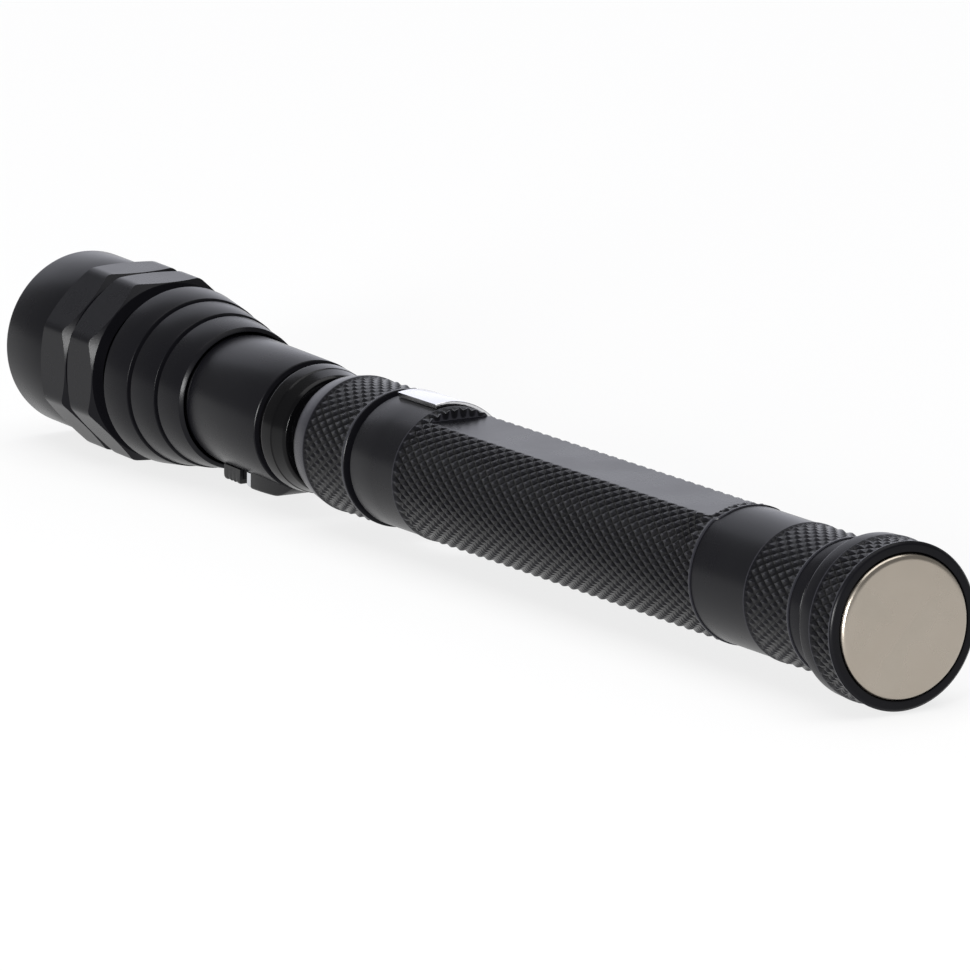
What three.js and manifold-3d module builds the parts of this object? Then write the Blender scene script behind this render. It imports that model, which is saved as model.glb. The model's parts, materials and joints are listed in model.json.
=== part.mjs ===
// Telescoping magnetic flashlight with a flexible neck, a focusing head and a pocket clip.
// Millimetres. +X runs along the handle from the tail magnet to the lens, +Z leaves the milled flat
// of the grip, and the origin is the centre of the magnet's outer face.

import * as THREE from "three";
import { mergeVertices } from "three/addons/utils/BufferGeometryUtils.js";
import Module from "manifold-3d";

const wasm = await Module();
wasm.setup();

// ---- Driving dimensions -------------------------------------------------------------------------

const outerFacets = 40;
const innerFacets = 24;

// Clearances
const slideClearance = 0.08;
const pressGap = 0.03;
const threadGap = 0.1;
const headGap = 0.3;

// Tail
const magnetRadius = 7.5;
const magnetThickness = 3;
const magnetProud = 0.4;
const magnetEdgeShare = 0.3;
const magnetEdge = 0.4;
const backPlateThickness = 0.5;
const capRadius = 8.7;
const capLength = 6.5;
const capKnurlLength = 3.4;
const capChamfer = 0.7;
const capGap = 1.7;
const capRimStep = 0.1;
const sealGap = 0.1;
const sealRadius = 7.05;

// Handle
const bandRadius = 7.2;
const gripRadius = 7.34;
const rearRingLength = 2;
const rearKnurlLength = 8.5;
const rearBandLength = 10.3;
const gripLength = 59.8;
const frontBandLength = 9;
const handleBore = 5.8;
const spigotRadius = 6.5;
const rearSpigotLength = 3.6;
const frontSpigotLength = 6.4;
const flatHeight = 6.2;
const flatLip = 1.6;
const flatCorner = 1.4;
const rearPlugLength = 5.4;

// Front collar
const collarRadius = 7.5;
const collarNoseRadius = 7;
const collarGap = 0.9;
const collarKnurlLength = 8.7;
const collarNoseLength = 2.8;
const guideLength = 4.6;
const collarLip = 0.8;

// Telescoping tubes, from the outermost to the innermost
const tubeNames = ["outer_tube", "second_tube", "third_tube", "inner_tube"];
const firstTubeRadius = 5.3;
const tubeWall = 0.35;
const stopStep = 0.37;
const stopLength = 5;
const lipLength = 4;
const tubeStagger = 0.5;
const tubeMouth = 0.5;
const mouthStagger = 0.25;
const innerTubeLength = 48;

// Flexible neck
const neckRadius = 2.7;
const rearFerruleLength = 4;
const rearFerruleSpigot = 5;
const exposedNeck = 2.8;
const bendGap = 1.3;
const headTilt = 1.5;

// Neck plug, the stepped glossy rings behind the battery tube
const plugNoseRadius = 6.35;
const plugMiddleRadius = 6.85;
const plugRimRadius = 7.05;
const plugNoseLength = 1.7;
const plugMiddleLength = 1.9;
const plugRimLength = 1.4;
const plugSpigotRadius = 5.6;
const plugSpigotLength = 3.4;
const frontFerruleLength = 6;

// Battery tube
const batteryTubeRadius = 7.2;
const batteryTubeLength = 14.5;
const batteryBore = 6.3;
const batteryThreadRadius = 6.9;
const batteryThreadLength = 4;
const cellRadius = 5.8;
const cellThickness = 5.4;
const cellCount = 4;
const cellStep = 0.6;
const cellRim = 0.4;
const cellGap = 0.1;
const sleeveWall = 0.15;
const contactThickness = 0.6;

// Switch, let into the underside of the battery tube
const switchSetback = 2;
const switchLength = 12.2;
const switchFrontWidth = 7.4;
const switchRearWidth = 5.2;
const switchWallTop = 4.9;
const switchBedHeight = 7.25;
const switchHeight = 8;
const sliderLength = 3.5;
const sliderTravel = 1.2;
const switchContactLength = 0.8;
const switchContactDrop = 0.1;
const switchShoulder = 6.2;
const switchTailCurve = 3.2;
const switchTailRise = 2.4;
const switchTailHeight = 6.9;
const skirtThickness = 0.5;
const skirtTop = 6.2;
const sliderEdge = 0.3;

// Finned heat sink
const finPitch = 4.65;
const finCount = 3;
const finRearRadius = 7.85;
const finTaper = 0.55;
const finStepUp = 0.2;
const finGroove = 0.5;
const finGrooveDepth = 0.45;
const heatSinkGap = 0.4;
const barrelRadius = 8.15;
const barrelBore = 7;
const barrelLength = 11.5;
const oRingSection = 0.65;
const oRingInset = 2;
const oRingDepth = 0.6;

// Light engine
const springRadius = 3.4;
const springWire = 0.35;
const springTurns = 2.5;
const springHeight = 1.9;
const springTaper = 0.45;
const springSteps = 12;
const driverThickness = 0.8;
const pillThickness = 3.6;
const pillShoulder = 1;
const ledBoardThickness = 1;
const ledBoardRadius = 6.6;
const ledSize = 3.5;
const ledBase = 0.7;
const ledDomeRadius = 1.25;

// Focusing sleeve
const zoomGap = 2.7;
const octagonFlat = 9.9;
const octagonRing = 5.6;
const octagonGroove = 0.4;
const octagonCore = 9.3;
const octagonChamfer = 1.1;
const octagonMargin = 0.2;
const bezelRadius = 9.8;
const bezelLength = 8.2;
const bezelEdge = 0.5;
const lensSeat = 1;
const lensRadius = 8.5;
const lensEdge = 1.6;
const lensDome = 2.8;
const retainerThickness = 1.4;
const retainerBore = 7.7;
const mouthFlare = 0.1;
const bezelMouth = 1;
const retainerSetback = 1.2;

// Pocket clip
const clipThickness = 0.5;
const clipWidth = 8;
const clipFromCollar = 0.5;
const clipStart = 12;
const clipWrap = 190;
const clipArmAngle = -90;
const clipArmWidth = 5.6;
const clipArmLength = 41;
const clipArmClearance = 1.42;
const clipArmRoot = 1.5;
const clipArmBend = 4;
const clipFootGap = 0.21;
const clipTipLength = 5;
const clipFlare = 1.1;
const clipArmOverlap = 0.8;
const clipArmSag = 0.2;
const clipFootRun = 4;

// ---- Stations along the axis --------------------------------------------------------------------

const capStart = magnetProud;
const capEnd = capStart + capLength;
const magnetEnd = magnetThickness;
const backPlateEnd = magnetEnd + pressGap + backPlateThickness;
const handleStart = capEnd + capGap;
const rearRingEnd = handleStart + rearRingLength;
const rearKnurlEnd = rearRingEnd + rearKnurlLength;
const rearBandEnd = rearKnurlEnd + rearBandLength;
const gripEnd = rearBandEnd + gripLength;
const handleEnd = gripEnd + frontBandLength;
const collarStart = handleEnd + collarGap;
const collarKnurlEnd = collarStart + collarKnurlLength;
const collarEnd = collarKnurlEnd + collarNoseLength;
const guideEnd = collarEnd - collarLip - pressGap;
const guideStart = guideEnd - guideLength;
const rearSpigotStart = handleStart - rearSpigotLength;
const rearPlugEnd = rearSpigotStart + rearPlugLength;
const tubesStart = rearPlugEnd + tubeStagger;
const neckPivot = collarEnd + exposedNeck / 2;
const plugStart = collarEnd + exposedNeck;
const plugMiddleStart = plugStart + plugNoseLength;
const plugRimStart = plugMiddleStart + plugMiddleLength;
const plugEnd = plugRimStart + plugRimLength;
const batteryStart = plugEnd + headGap;
const batteryEnd = batteryStart + batteryTubeLength;
const plugSpigotEnd = plugEnd + plugSpigotLength;
const contactStart = plugSpigotEnd + headGap;
const cellsStart = contactStart + contactThickness + cellGap;
const cellsEnd = cellsStart + cellCount * (cellThickness + cellGap);
const sinkStart = batteryEnd + heatSinkGap;
const finsEnd = sinkStart + finCount * finPitch - finGroove;
const springStart = cellsEnd + headGap;
const springEnd = springStart + springHeight;
const driverStart = springEnd + headGap;
const driverEnd = driverStart + driverThickness;
const pillStart = driverEnd + headGap;
const pillEnd = pillStart + pillThickness;
const ledBoardStart = pillEnd + headGap;
const ledBoardEnd = ledBoardStart + ledBoardThickness;
const ledStart = ledBoardEnd + headGap;
const barrelEnd = finsEnd + barrelLength;
const sleeveStart = finsEnd + zoomGap;
const grooveStart = sleeveStart + octagonRing;
const secondRingStart = grooveStart + octagonGroove;
const bezelStart = secondRingStart + octagonRing;
const bezelEnd = bezelStart + bezelLength;
const retainerStart = bezelEnd - retainerSetback - retainerThickness;
const lensStart = retainerStart - headGap - lensEdge;
const lensSealStart = lensStart - headGap - oRingSection;
const seatStart = lensSealStart - headGap - lensSeat;

// ---- Finishes -----------------------------------------------------------------------------------

const finish = (color, roughness, metalness) =>
  new THREE.MeshStandardMaterial({ color, roughness, metalness });
const blackAnodised = () => finish(0x1d1d20, 0.45, 0.8);
const glossBlack = () => finish(0x08080a, 0.15, 0.2);
const blackPlastic = () => finish(0x121214, 0.5, 0);
const blackRubber = () => finish(0x0c0c0c, 0.85, 0);
const nickel = () => finish(0xb9b2aa, 0.25, 1);
const brightSteel = () => finish(0xd9dadd, 0.18, 1);
const brass = () => finish(0xb38a3e, 0.35, 1);
const whiteBoard = () => finish(0xe8e8e4, 0.6, 0);
const greenBoard = () => finish(0x1c5a34, 0.6, 0);
const amberLed = () => finish(0xe8c43c, 0.3, 0);
const clearAcrylic = () => finish(0xe6f0f4, 0.05, 0);
const whiteNylon = () => finish(0xdcdcd4, 0.6, 0);

// ---- Shape helpers ------------------------------------------------------------------------------

// Twice the signed area of a closed outline of [along, radius] points.
function signedArea(points) {
  return points.reduce((sum, [x, r], i) => {
    const [nextX, nextR] = points[(i + 1) % points.length];
    return sum + x * nextR - nextX * r;
  }, 0);
}

// A solid of revolution about X. The profile is a list of [along, radius] points: it closes on
// itself, or starts and ends on the axis.
function turned(profile, facets = innerFacets) {
  const points = signedArea(profile) > 0 ? [...profile].reverse() : [...profile];
  const onAxis = points.every(([, r]) => r > 0) === false;
  if (!onAxis) points.push(points[0]);
  while (onAxis && !(points[0][1] === 0 && points[points.length - 1][1] === 0)) {
    points.push(points.shift());
  }
  const lathe = new THREE.LatheGeometry(
    points.map(([x, r]) => new THREE.Vector2(r, x)),
    facets,
  );
  return lathe.rotateZ(-Math.PI / 2);
}

// A plain ring or tube between two stations.
function ring(start, end, inner, outer, facets = innerFacets) {
  return turned([[start, inner], [end, inner], [end, outer], [start, outer]], facets);
}

// A disc or rod between two stations.
function disc(start, end, radius, facets = innerFacets) {
  return turned([[start, 0], [end, 0], [end, radius], [start, radius]], facets);
}

// A box given by its lowest and highest corners.
function block(low, high) {
  const size = high.map((value, i) => value - low[i]);
  const centre = high.map((value, i) => (value + low[i]) / 2);
  return new THREE.BoxGeometry(...size).translate(...centre);
}

function toSolid(geometry) {
  const bare = geometry.clone();
  bare.deleteAttribute("normal");
  bare.deleteAttribute("uv");
  const merged = mergeVertices(bare, 1e-4);
  return new wasm.Manifold(
    new wasm.Mesh({
      numProp: 3,
      vertProperties: merged.attributes.position.array,
      triVerts: new Uint32Array(merged.index.array),
    }),
  );
}

function toGeometry(solid) {
  const mesh = solid.getMesh();
  const geometry = new THREE.BufferGeometry();
  geometry.setAttribute("position", new THREE.BufferAttribute(mesh.vertProperties, 3));
  geometry.setIndex(new THREE.BufferAttribute(mesh.triVerts, 1));
  geometry.computeVertexNormals();
  return geometry;
}

const cut = (body, ...tools) =>
  toGeometry(tools.reduce((solid, tool) => solid.subtract(toSolid(tool)), toSolid(body)));
const join = (first, ...others) =>
  toGeometry(others.reduce((solid, other) => solid.add(toSolid(other)), toSolid(first)));
const common = (first, second) => toGeometry(toSolid(first).intersect(toSolid(second)));

function named(name, geometry, material) {
  const mesh = new THREE.Mesh(geometry, material);
  mesh.name = name;
  return mesh;
}

// ---- Tail ---------------------------------------------------------------------------------------

function tailMagnet() {
  const inner = magnetRadius - magnetEdge;
  return turned(
    [[0, 0], [magnetEnd, 0], [magnetEnd, magnetRadius], [magnetEdge, magnetRadius],
      [magnetEdge * magnetEdgeShare, magnetRadius - magnetEdge * magnetEdgeShare], [0, inner]],
    outerFacets,
  );
}

function magnetBackPlate() {
  return disc(magnetEnd + pressGap, backPlateEnd, magnetRadius, outerFacets);
}

function tailCap() {
  const pocket = magnetRadius + threadGap;
  const pocketEnd = backPlateEnd + pressGap;
  const socket = spigotRadius + threadGap;
  const socketStart = rearSpigotStart - threadGap;
  const face = capRadius - capChamfer;
  const smooth = capStart + capChamfer + capKnurlLength;
  return turned(
    [
      [capStart, pocket], [pocketEnd, pocket], [pocketEnd, handleBore], [socketStart, handleBore],
      [socketStart, socket], [capEnd, socket], [capEnd, capRadius - capChamfer],
      [capEnd - capChamfer, capRadius - capRimStep], [smooth, capRadius - capRimStep], [smooth, capRadius],
      [capStart + capChamfer, capRadius], [capStart, face],
    ],
    outerFacets,
  );
}

function tailCapSeal() {
  return ring(
    capEnd + sealGap,
    handleStart - sealGap,
    spigotRadius + pressGap,
    sealRadius,
    outerFacets,
  );
}

// ---- Handle -------------------------------------------------------------------------------------

// The pocket that mills the flat of the grip: a slab with rounded corners in plan.
function flatPocket() {
  const half = gripRadius + 1;
  const start = rearBandEnd + flatLip;
  const end = gripEnd - flatLip;
  const halfWidth = Math.sqrt(gripRadius ** 2 - flatHeight ** 2);
  const plan = new THREE.Shape();
  plan.moveTo(start + flatCorner, -halfWidth);
  plan.lineTo(end, -halfWidth);
  plan.lineTo(end, halfWidth);
  plan.lineTo(start + flatCorner, halfWidth);
  plan.quadraticCurveTo(start, halfWidth, start, halfWidth - flatCorner);
  plan.lineTo(start, -halfWidth + flatCorner);
  plan.quadraticCurveTo(start, -halfWidth, start + flatCorner, -halfWidth);
  const slab = new THREE.ExtrudeGeometry(plan, {
    depth: half - flatHeight,
    bevelEnabled: false,
    curveSegments: 5,
  });
  return slab.translate(0, 0, flatHeight);
}

function handleTube() {
  const frontSpigotEnd = handleEnd + frontSpigotLength;
  const body = turned(
    [
      [rearSpigotStart, handleBore], [frontSpigotEnd, handleBore], [frontSpigotEnd, spigotRadius],
      [handleEnd, spigotRadius], [handleEnd, bandRadius], [gripEnd, bandRadius],
      [gripEnd, gripRadius], [rearBandEnd, gripRadius], [rearBandEnd, bandRadius],
      [rearKnurlEnd, bandRadius], [rearKnurlEnd, gripRadius], [rearRingEnd, gripRadius],
      [rearRingEnd, bandRadius], [handleStart, bandRadius], [handleStart, spigotRadius],
      [rearSpigotStart, spigotRadius],
    ],
    outerFacets,
  );
  return cut(body, flatPocket());
}

function rearPlug() {
  return disc(rearSpigotStart, rearPlugEnd, handleBore - pressGap * 3);
}

function frontCollar() {
  const threadRadius = spigotRadius + threadGap;
  const mouth = firstTubeRadius + threadGap * 3;
  return turned(
    [
      [collarStart, threadRadius], [guideEnd + pressGap, threadRadius],
      [guideEnd + pressGap, mouth], [collarEnd, mouth], [collarEnd, collarNoseRadius],
      [collarKnurlEnd, collarRadius], [collarStart, collarRadius],
    ],
    outerFacets,
  );
}

function guideBush() {
  return ring(guideStart, guideEnd, firstTubeRadius + slideClearance, spigotRadius);
}

// Half-ring of spring steel round the front band, with an arm that runs back along the far side.
function pocketClip() {
  const inner = bandRadius + pressGap * 2;
  const outer = inner + clipThickness;
  const front = collarStart - collarGap - clipFromCollar;
  const start = THREE.MathUtils.degToRad(clipStart);
  const wrap = THREE.MathUtils.degToRad(clipWrap);
  // Drawn in the YZ plane as (y, z), from the top towards -Y.
  const section = new THREE.Shape();
  section.absarc(0, 0, outer, Math.PI / 2 - start, Math.PI / 2 - start + wrap, false);
  section.absarc(0, 0, inner, Math.PI / 2 - start + wrap, Math.PI / 2 - start, true);
  const band = new THREE.ExtrudeGeometry(section, {
    depth: clipWidth,
    bevelEnabled: false,
    curveSegments: 28,
  });
  // The shape's own x, y, z become the part's Y, Z, X.
  const turn = new THREE.Matrix4().makeBasis(
    new THREE.Vector3(0, 1, 0),
    new THREE.Vector3(0, 0, 1),
    new THREE.Vector3(1, 0, 0),
  );
  band.applyMatrix4(turn).translate(front - clipWidth, 0, 0);
  return join(band, clipArm(outer, front - clipWidth));
}

// The arm's side profile in the XY plane, swept through its width along Z, then turned to its side.
function clipArm(outer, bandRear) {
  const lifted = gripRadius + clipArmClearance + clipThickness;
  const root = bandRear + clipArmRoot;
  const bend = bandRear - clipArmBend;
  const tip = bandRear - clipArmLength;
  const foot = tip + clipTipLength;
  const low = gripRadius + clipFootGap;
  const under = lifted - clipArmSag - clipThickness;
  const side = new THREE.Shape();
  side.moveTo(root, outer - clipThickness * clipArmOverlap);
  side.lineTo(root, outer);
  side.bezierCurveTo(bandRear, outer, bandRear - 1, lifted, bend, lifted);
  side.lineTo(foot + clipFootRun, lifted - clipArmSag);
  side.quadraticCurveTo(foot + clipFootRun / 3, lifted - clipArmSag, foot, low + clipThickness);
  side.lineTo(tip, low + clipThickness + clipFlare);
  side.lineTo(tip, low + clipFlare);
  side.lineTo(foot, low);
  side.quadraticCurveTo(foot + clipFootRun / 2, under, foot + clipFootRun + clipThickness, under);
  side.lineTo(bend, lifted - clipThickness);
  side.bezierCurveTo(bandRear, lifted - clipThickness, bandRear, outer - clipThickness * clipArmOverlap,
    root, outer - clipThickness * clipArmOverlap);
  const arm = new THREE.ExtrudeGeometry(side, {
    depth: clipArmWidth,
    bevelEnabled: false,
    curveSegments: 5,
  });
  arm.translate(0, 0, -clipArmWidth / 2);
  return arm.rotateX(THREE.MathUtils.degToRad(clipArmAngle - 90));
}

// ---- Telescoping tubes --------------------------------------------------------------------------

const tubeStep = tubeWall + stopStep + slideClearance;
const tubeOuter = (index) => firstTubeRadius - index * tubeStep;
const tubeBore = (index) => tubeOuter(index) - tubeWall;
const boreAround = (index) => (index === 0 ? handleBore : tubeBore(index - 1));
const tubeStart = (index) => tubesStart + index * tubeStagger;
const isInnermost = (index) => index === tubeNames.length - 1;
const tubeEnd = (index) =>
  isInnermost(index)
    ? tubeStart(index) + innerTubeLength
    : collarEnd + tubeMouth + index * mouthStagger;

function telescopingTube(index) {
  const start = tubeStart(index);
  const end = tubeEnd(index);
  const outer = tubeOuter(index);
  const bore = tubeBore(index);
  if (isInnermost(index)) return ring(start, end, bore, outer);
  const lip = tubeOuter(index + 1) + slideClearance;
  const lipStart = end - lipLength;
  return turned([
    [start, bore], [lipStart - (bore - lip), bore], [lipStart, lip], [end, lip],
    [end, outer], [start, outer],
  ]);
}

function tubeStop(index) {
  const start = tubeStart(index);
  const bore = tubeOuter(index) + pressGap;
  return ring(start, start + stopLength, bore, boreAround(index) - slideClearance);
}

// ---- Flexible neck ------------------------------------------------------------------------------

const innermost = tubeNames.length - 1;
const neckStart = tubeEnd(innermost) + rearFerruleLength;

function rearFerrule() {
  const mouth = tubeEnd(innermost);
  const collar = tubeOuter(innermost) - pressGap;
  const spigot = tubeBore(innermost) - slideClearance;
  return turned([
    [mouth - rearFerruleSpigot, 0], [neckStart, 0], [neckStart, collar], [mouth + slideClearance, collar],
    [mouth + slideClearance, spigot], [mouth - rearFerruleSpigot, spigot],
  ]);
}

function flexibleNeck() {
  return disc(neckStart + pressGap, neckPivot - bendGap / 2, neckRadius);
}

// ---- Neck plug and battery tube -----------------------------------------------------------------

const ferruleStart = neckPivot + bendGap / 2;
const ferruleEnd = ferruleStart + frontFerruleLength;

function frontFerrule() {
  return disc(ferruleStart, ferruleEnd, neckRadius - pressGap);
}

function neckPlug() {
  const socket = neckRadius + threadGap;
  const step = (plugRimRadius - plugMiddleRadius) / 2;
  return turned(
    [
      [plugStart, socket], [ferruleEnd + headGap, socket], [ferruleEnd + headGap, 0], [plugSpigotEnd, 0],
      [plugSpigotEnd, plugSpigotRadius], [plugEnd, plugSpigotRadius], [plugEnd, plugRimRadius],
      [plugRimStart, plugRimRadius], [plugRimStart, plugMiddleRadius],
      [plugMiddleStart, plugMiddleRadius - step], [plugMiddleStart, plugNoseRadius + step],
      [plugStart, plugNoseRadius], [plugStart, socket],
    ],
    outerFacets,
  );
}

const switchRear = batteryEnd - switchSetback - switchLength;
const switchFront = batteryEnd - switchSetback;

// The plan outline of the switch, grown by a margin: blunt in front, narrower behind.
function switchPlan(margin) {
  const frontHalf = switchFrontWidth / 2 + margin;
  const rearHalf = switchRearWidth / 2 + margin;
  const rear = switchRear - margin;
  const front = switchFront + margin;
  const shoulder = rear + switchShoulder;
  const plan = new THREE.Shape();
  plan.moveTo(front, -frontHalf);
  plan.lineTo(front, frontHalf);
  plan.lineTo(shoulder, frontHalf);
  plan.quadraticCurveTo(rear + switchTailCurve, frontHalf, rear, rearHalf);
  plan.lineTo(rear, -rearHalf);
  plan.quadraticCurveTo(rear + switchTailCurve, -frontHalf, shoulder, -frontHalf);
  return plan;
}

// A slab of the switch's outline between two depths below the axis.
function switchSlab(margin, top, bottom) {
  const slab = new THREE.ExtrudeGeometry(switchPlan(margin), {
    depth: bottom - top,
    bevelEnabled: false,
    curveSegments: 6,
  });
  return slab.translate(0, 0, -bottom);
}

function batteryTube() {
  const threadEnd = batteryEnd + batteryThreadLength;
  const body = turned(
    [
      [batteryStart, batteryBore], [threadEnd, batteryBore], [threadEnd, batteryThreadRadius],
      [batteryEnd, batteryThreadRadius], [batteryEnd, batteryTubeRadius],
      [batteryStart, batteryTubeRadius],
    ],
    outerFacets,
  );
  return cut(body, switchSlab(headGap, switchWallTop - headGap, switchHeight));
}

const sliderStart = switchFront - sliderLength;
const notchStart = sliderStart - sliderTravel - headGap - switchContactLength;

// The wedge under the switch's sloping rear end.
function tailWedge() {
  const wedge = new THREE.Shape();
  wedge.moveTo(switchRear, -switchTailHeight);
  wedge.lineTo(switchRear + switchTailRise, -switchHeight);
  wedge.lineTo(switchRear + switchTailRise, -switchHeight - 1);
  wedge.lineTo(switchRear - 1, -switchHeight - 1);
  wedge.lineTo(switchRear - 1, -switchTailHeight);
  const solid = new THREE.ExtrudeGeometry(wedge, { depth: 2 * switchFrontWidth, bevelEnabled: false });
  return solid.rotateX(Math.PI / 2).translate(0, switchFrontWidth, 0);
}

function switchFrame() {
  const all = switchSlab(0, switchWallTop, switchHeight);
  const bore = disc(switchRear - 1, switchFront + 1, batteryBore + threadGap, outerFacets);
  const wide = switchFrontWidth;
  const bedHalf = switchFrontWidth / 2 - skirtThickness;
  const below = -switchHeight - 1;
  const bed = block([notchStart, -wide, below], [switchFront + 1, wide, -switchBedHeight]);
  const near = block([notchStart, bedHalf, below], [switchFront + 1, wide, -skirtTop]);
  const far = block([notchStart, -wide, below], [switchFront + 1, -bedHalf, -skirtTop]);
  return cut(all, bore, bed, near, far, tailWedge());
}

// A saddle that sits on the bed, with a skirt down each side of it.
function saddle(start, end, half, height, edge) {
  const shape = new THREE.Shape();
  const top = -skirtTop - headGap / 2;
  shape.moveTo(start, top);
  shape.lineTo(start, -height + edge);
  shape.quadraticCurveTo(start, -height, start + edge, -height);
  shape.lineTo(end - edge, -height);
  shape.quadraticCurveTo(end, -height, end, -height + edge);
  shape.lineTo(end, top);
  const slab = new THREE.ExtrudeGeometry(shape, {
    depth: half * 2,
    bevelEnabled: false,
    curveSegments: 4,
  });
  slab.rotateX(Math.PI / 2).translate(0, half, 0);
  const inside = switchFrontWidth / 2 - skirtThickness + headGap / 2;
  const bed = block([start - 1, -inside, -switchBedHeight - headGap / 2], [end + 1, inside, 0]);
  return cut(slab, bed);
}

function switchSlider() {
  return saddle(sliderStart, switchFront, switchFrontWidth / 2, switchHeight, sliderEdge);
}

function switchContact() {
  const start = notchStart + headGap / 2;
  const half = switchFrontWidth / 2 - switchContactDrop;
  const height = switchHeight - switchContactDrop;
  return saddle(start, start + switchContactLength, half, height, switchContactDrop);
}

function batterySleeve() {
  const inner = cellRadius + threadGap;
  return ring(contactStart, cellsEnd, inner, inner + sleeveWall);
}

function rearContact() {
  return disc(contactStart, contactStart + contactThickness, cellRadius);
}

// A button cell: a wide can with a narrower cap on its front.
function buttonCell(index) {
  const start = cellsStart + index * (cellThickness + cellGap);
  const end = start + cellThickness;
  const cap = cellRadius - cellStep;
  return turned([
    [start, 0], [end, 0], [end, cap], [end - cellRim, cap],
    [end - cellRim, cellRadius], [start, cellRadius],
  ]);
}

// ---- Heat sink and light engine -----------------------------------------------------------------

// Three tapered fins that grow towards the front, each ending in a groove.
function finProfile() {
  const points = [];
  for (let fin = 0; fin < finCount; fin += 1) {
    const start = sinkStart + fin * finPitch;
    const end = start + finPitch - finGroove;
    const rear = finRearRadius + fin * (finTaper + finStepUp);
    points.push([start, rear], [end, rear + finTaper]);
    if (fin < finCount - 1) {
      const floor = rear + finTaper - finGrooveDepth;
      points.push([end, floor], [end + finGroove, floor]);
    }
  }
  return points;
}

function heatSink() {
  const thread = batteryThreadRadius + threadGap;
  const threadEnd = batteryEnd + batteryThreadLength + headGap;
  const bore = batteryBore + threadGap;
  const shoulder = pillStart - headGap;
  const groove = barrelEnd - oRingInset;
  const grooveEnd = groove + oRingSection + 2 * threadGap;
  const grooveFloor = barrelRadius - oRingDepth;
  return turned(
    [
      [sinkStart, thread], [threadEnd, thread], [threadEnd, bore], [shoulder, bore],
      [shoulder, barrelBore], [barrelEnd, barrelBore], [barrelEnd, barrelRadius],
      [grooveEnd, barrelRadius], [grooveEnd, grooveFloor], [groove, grooveFloor],
      [groove, barrelRadius], [finsEnd, barrelRadius],
      ...finProfile().reverse(),
    ],
    outerFacets,
  );
}

// A rubber ring of round section.
function oRing(start, innerRadius, section, sides = 6) {
  const half = section / 2;
  const points = [];
  for (let i = 0; i < sides; i += 1) {
    const angle = ((i + 0.5) * 2 * Math.PI) / sides;
    points.push([start + half + half * Math.cos(angle), innerRadius + half + half * Math.sin(angle)]);
  }
  return turned(points);
}

function zoomSeal() {
  return oRing(barrelEnd - oRingInset + threadGap, barrelRadius - oRingDepth + threadGap, oRingSection);
}

class Helix extends THREE.Curve {
  getPoint(t) {
    const angle = t * springTurns * 2 * Math.PI;
    const radius = springRadius * (1 - springTaper * t);
    const along = springStart + springWire / 2 + t * (springHeight - springWire);
    return new THREE.Vector3(along, radius * Math.cos(angle), radius * Math.sin(angle));
  }
}

function contactSpring() {
  const wire = new THREE.Shape();
  wire.absarc(0, 0, springWire / 2, 0, 2 * Math.PI, false);
  return new THREE.ExtrudeGeometry(wire, {
    extrudePath: new Helix(),
    steps: Math.round(springTurns * springSteps),
    curveSegments: 3,
  });
}

function driverBoard() {
  return disc(driverStart, driverEnd, cellRadius);
}

function ledPill() {
  const spigot = batteryBore - headGap;
  return turned([
    [pillStart, 0], [pillEnd, 0], [pillEnd, barrelBore - threadGap],
    [pillStart + pillShoulder, barrelBore - threadGap], [pillStart + pillShoulder, spigot], [pillStart, spigot],
  ]);
}

function ledBoard() {
  return disc(ledBoardStart, ledBoardEnd, ledBoardRadius);
}

function ledEmitter() {
  const half = ledSize / 2;
  const base = block([ledStart, -half, -half], [ledStart + ledBase, half, half]);
  const top = ledStart + ledBase - 0.1;
  const dome = [[top, 0]];
  for (let i = 0; i <= 4; i += 1) {
    const angle = (i * Math.PI) / 8;
    dome.push([top + ledDomeRadius * Math.cos(angle), i === 0 ? 0 : ledDomeRadius * Math.sin(angle)]);
  }
  return join(base, turned([...dome.slice(1), [top, ledDomeRadius], dome[0]], 16));
}

// ---- Focusing sleeve ----------------------------------------------------------------------------

// One eight-sided ring with conical chamfers, flats facing straight up, down and sideways.
function octagonRingBody(start) {
  const end = start + octagonRing;
  const corner = octagonFlat / Math.cos(Math.PI / 8);
  const envelope = corner + octagonMargin;
  const face = envelope - octagonChamfer;
  const inner = octagonCore - threadGap * 3;
  const cone = turned(
    [
      [start, inner], [end, inner], [end, face],
      [end - octagonChamfer, envelope], [start + octagonChamfer, envelope], [start, face],
    ],
    outerFacets,
  );
  const outline = new THREE.Shape();
  for (let i = 0; i < 8; i += 1) {
    const angle = Math.PI / 8 + (i * Math.PI) / 4;
    const point = [corner * Math.cos(angle), corner * Math.sin(angle)];
    if (i === 0) outline.moveTo(...point);
    else outline.lineTo(...point);
  }
  const prism = new THREE.ExtrudeGeometry(outline, { depth: octagonRing + 2, bevelEnabled: false });
  prism.rotateY(Math.PI / 2).translate(start - 1, 0, 0);
  return common(cone, prism);
}

function zoomSleeve() {
  const slide = barrelRadius + slideClearance * 2;
  const seatBore = lensRadius - lensSeat;
  const lensBore = lensRadius + threadGap * 2;
  const edge = bezelEdge;
  const core = turned(
    [
      [sleeveStart, slide], [seatStart, slide], [seatStart, seatBore],
      [seatStart + lensSeat, seatBore], [seatStart + lensSeat, lensBore],
      [bezelEnd - bezelMouth, lensBore], [bezelEnd, lensBore + mouthFlare],
      [bezelEnd, bezelRadius - edge], [bezelEnd - edge * 0.3, bezelRadius - edge * 0.3],
      [bezelEnd - edge, bezelRadius], [bezelStart, bezelRadius],
      [bezelStart, octagonCore], [sleeveStart, octagonCore],
    ],
    outerFacets,
  );
  return join(core, octagonRingBody(sleeveStart), octagonRingBody(secondRingStart));
}

function lensSeal() {
  return oRing(lensSealStart, lensRadius - oRingSection, oRingSection);
}

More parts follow.
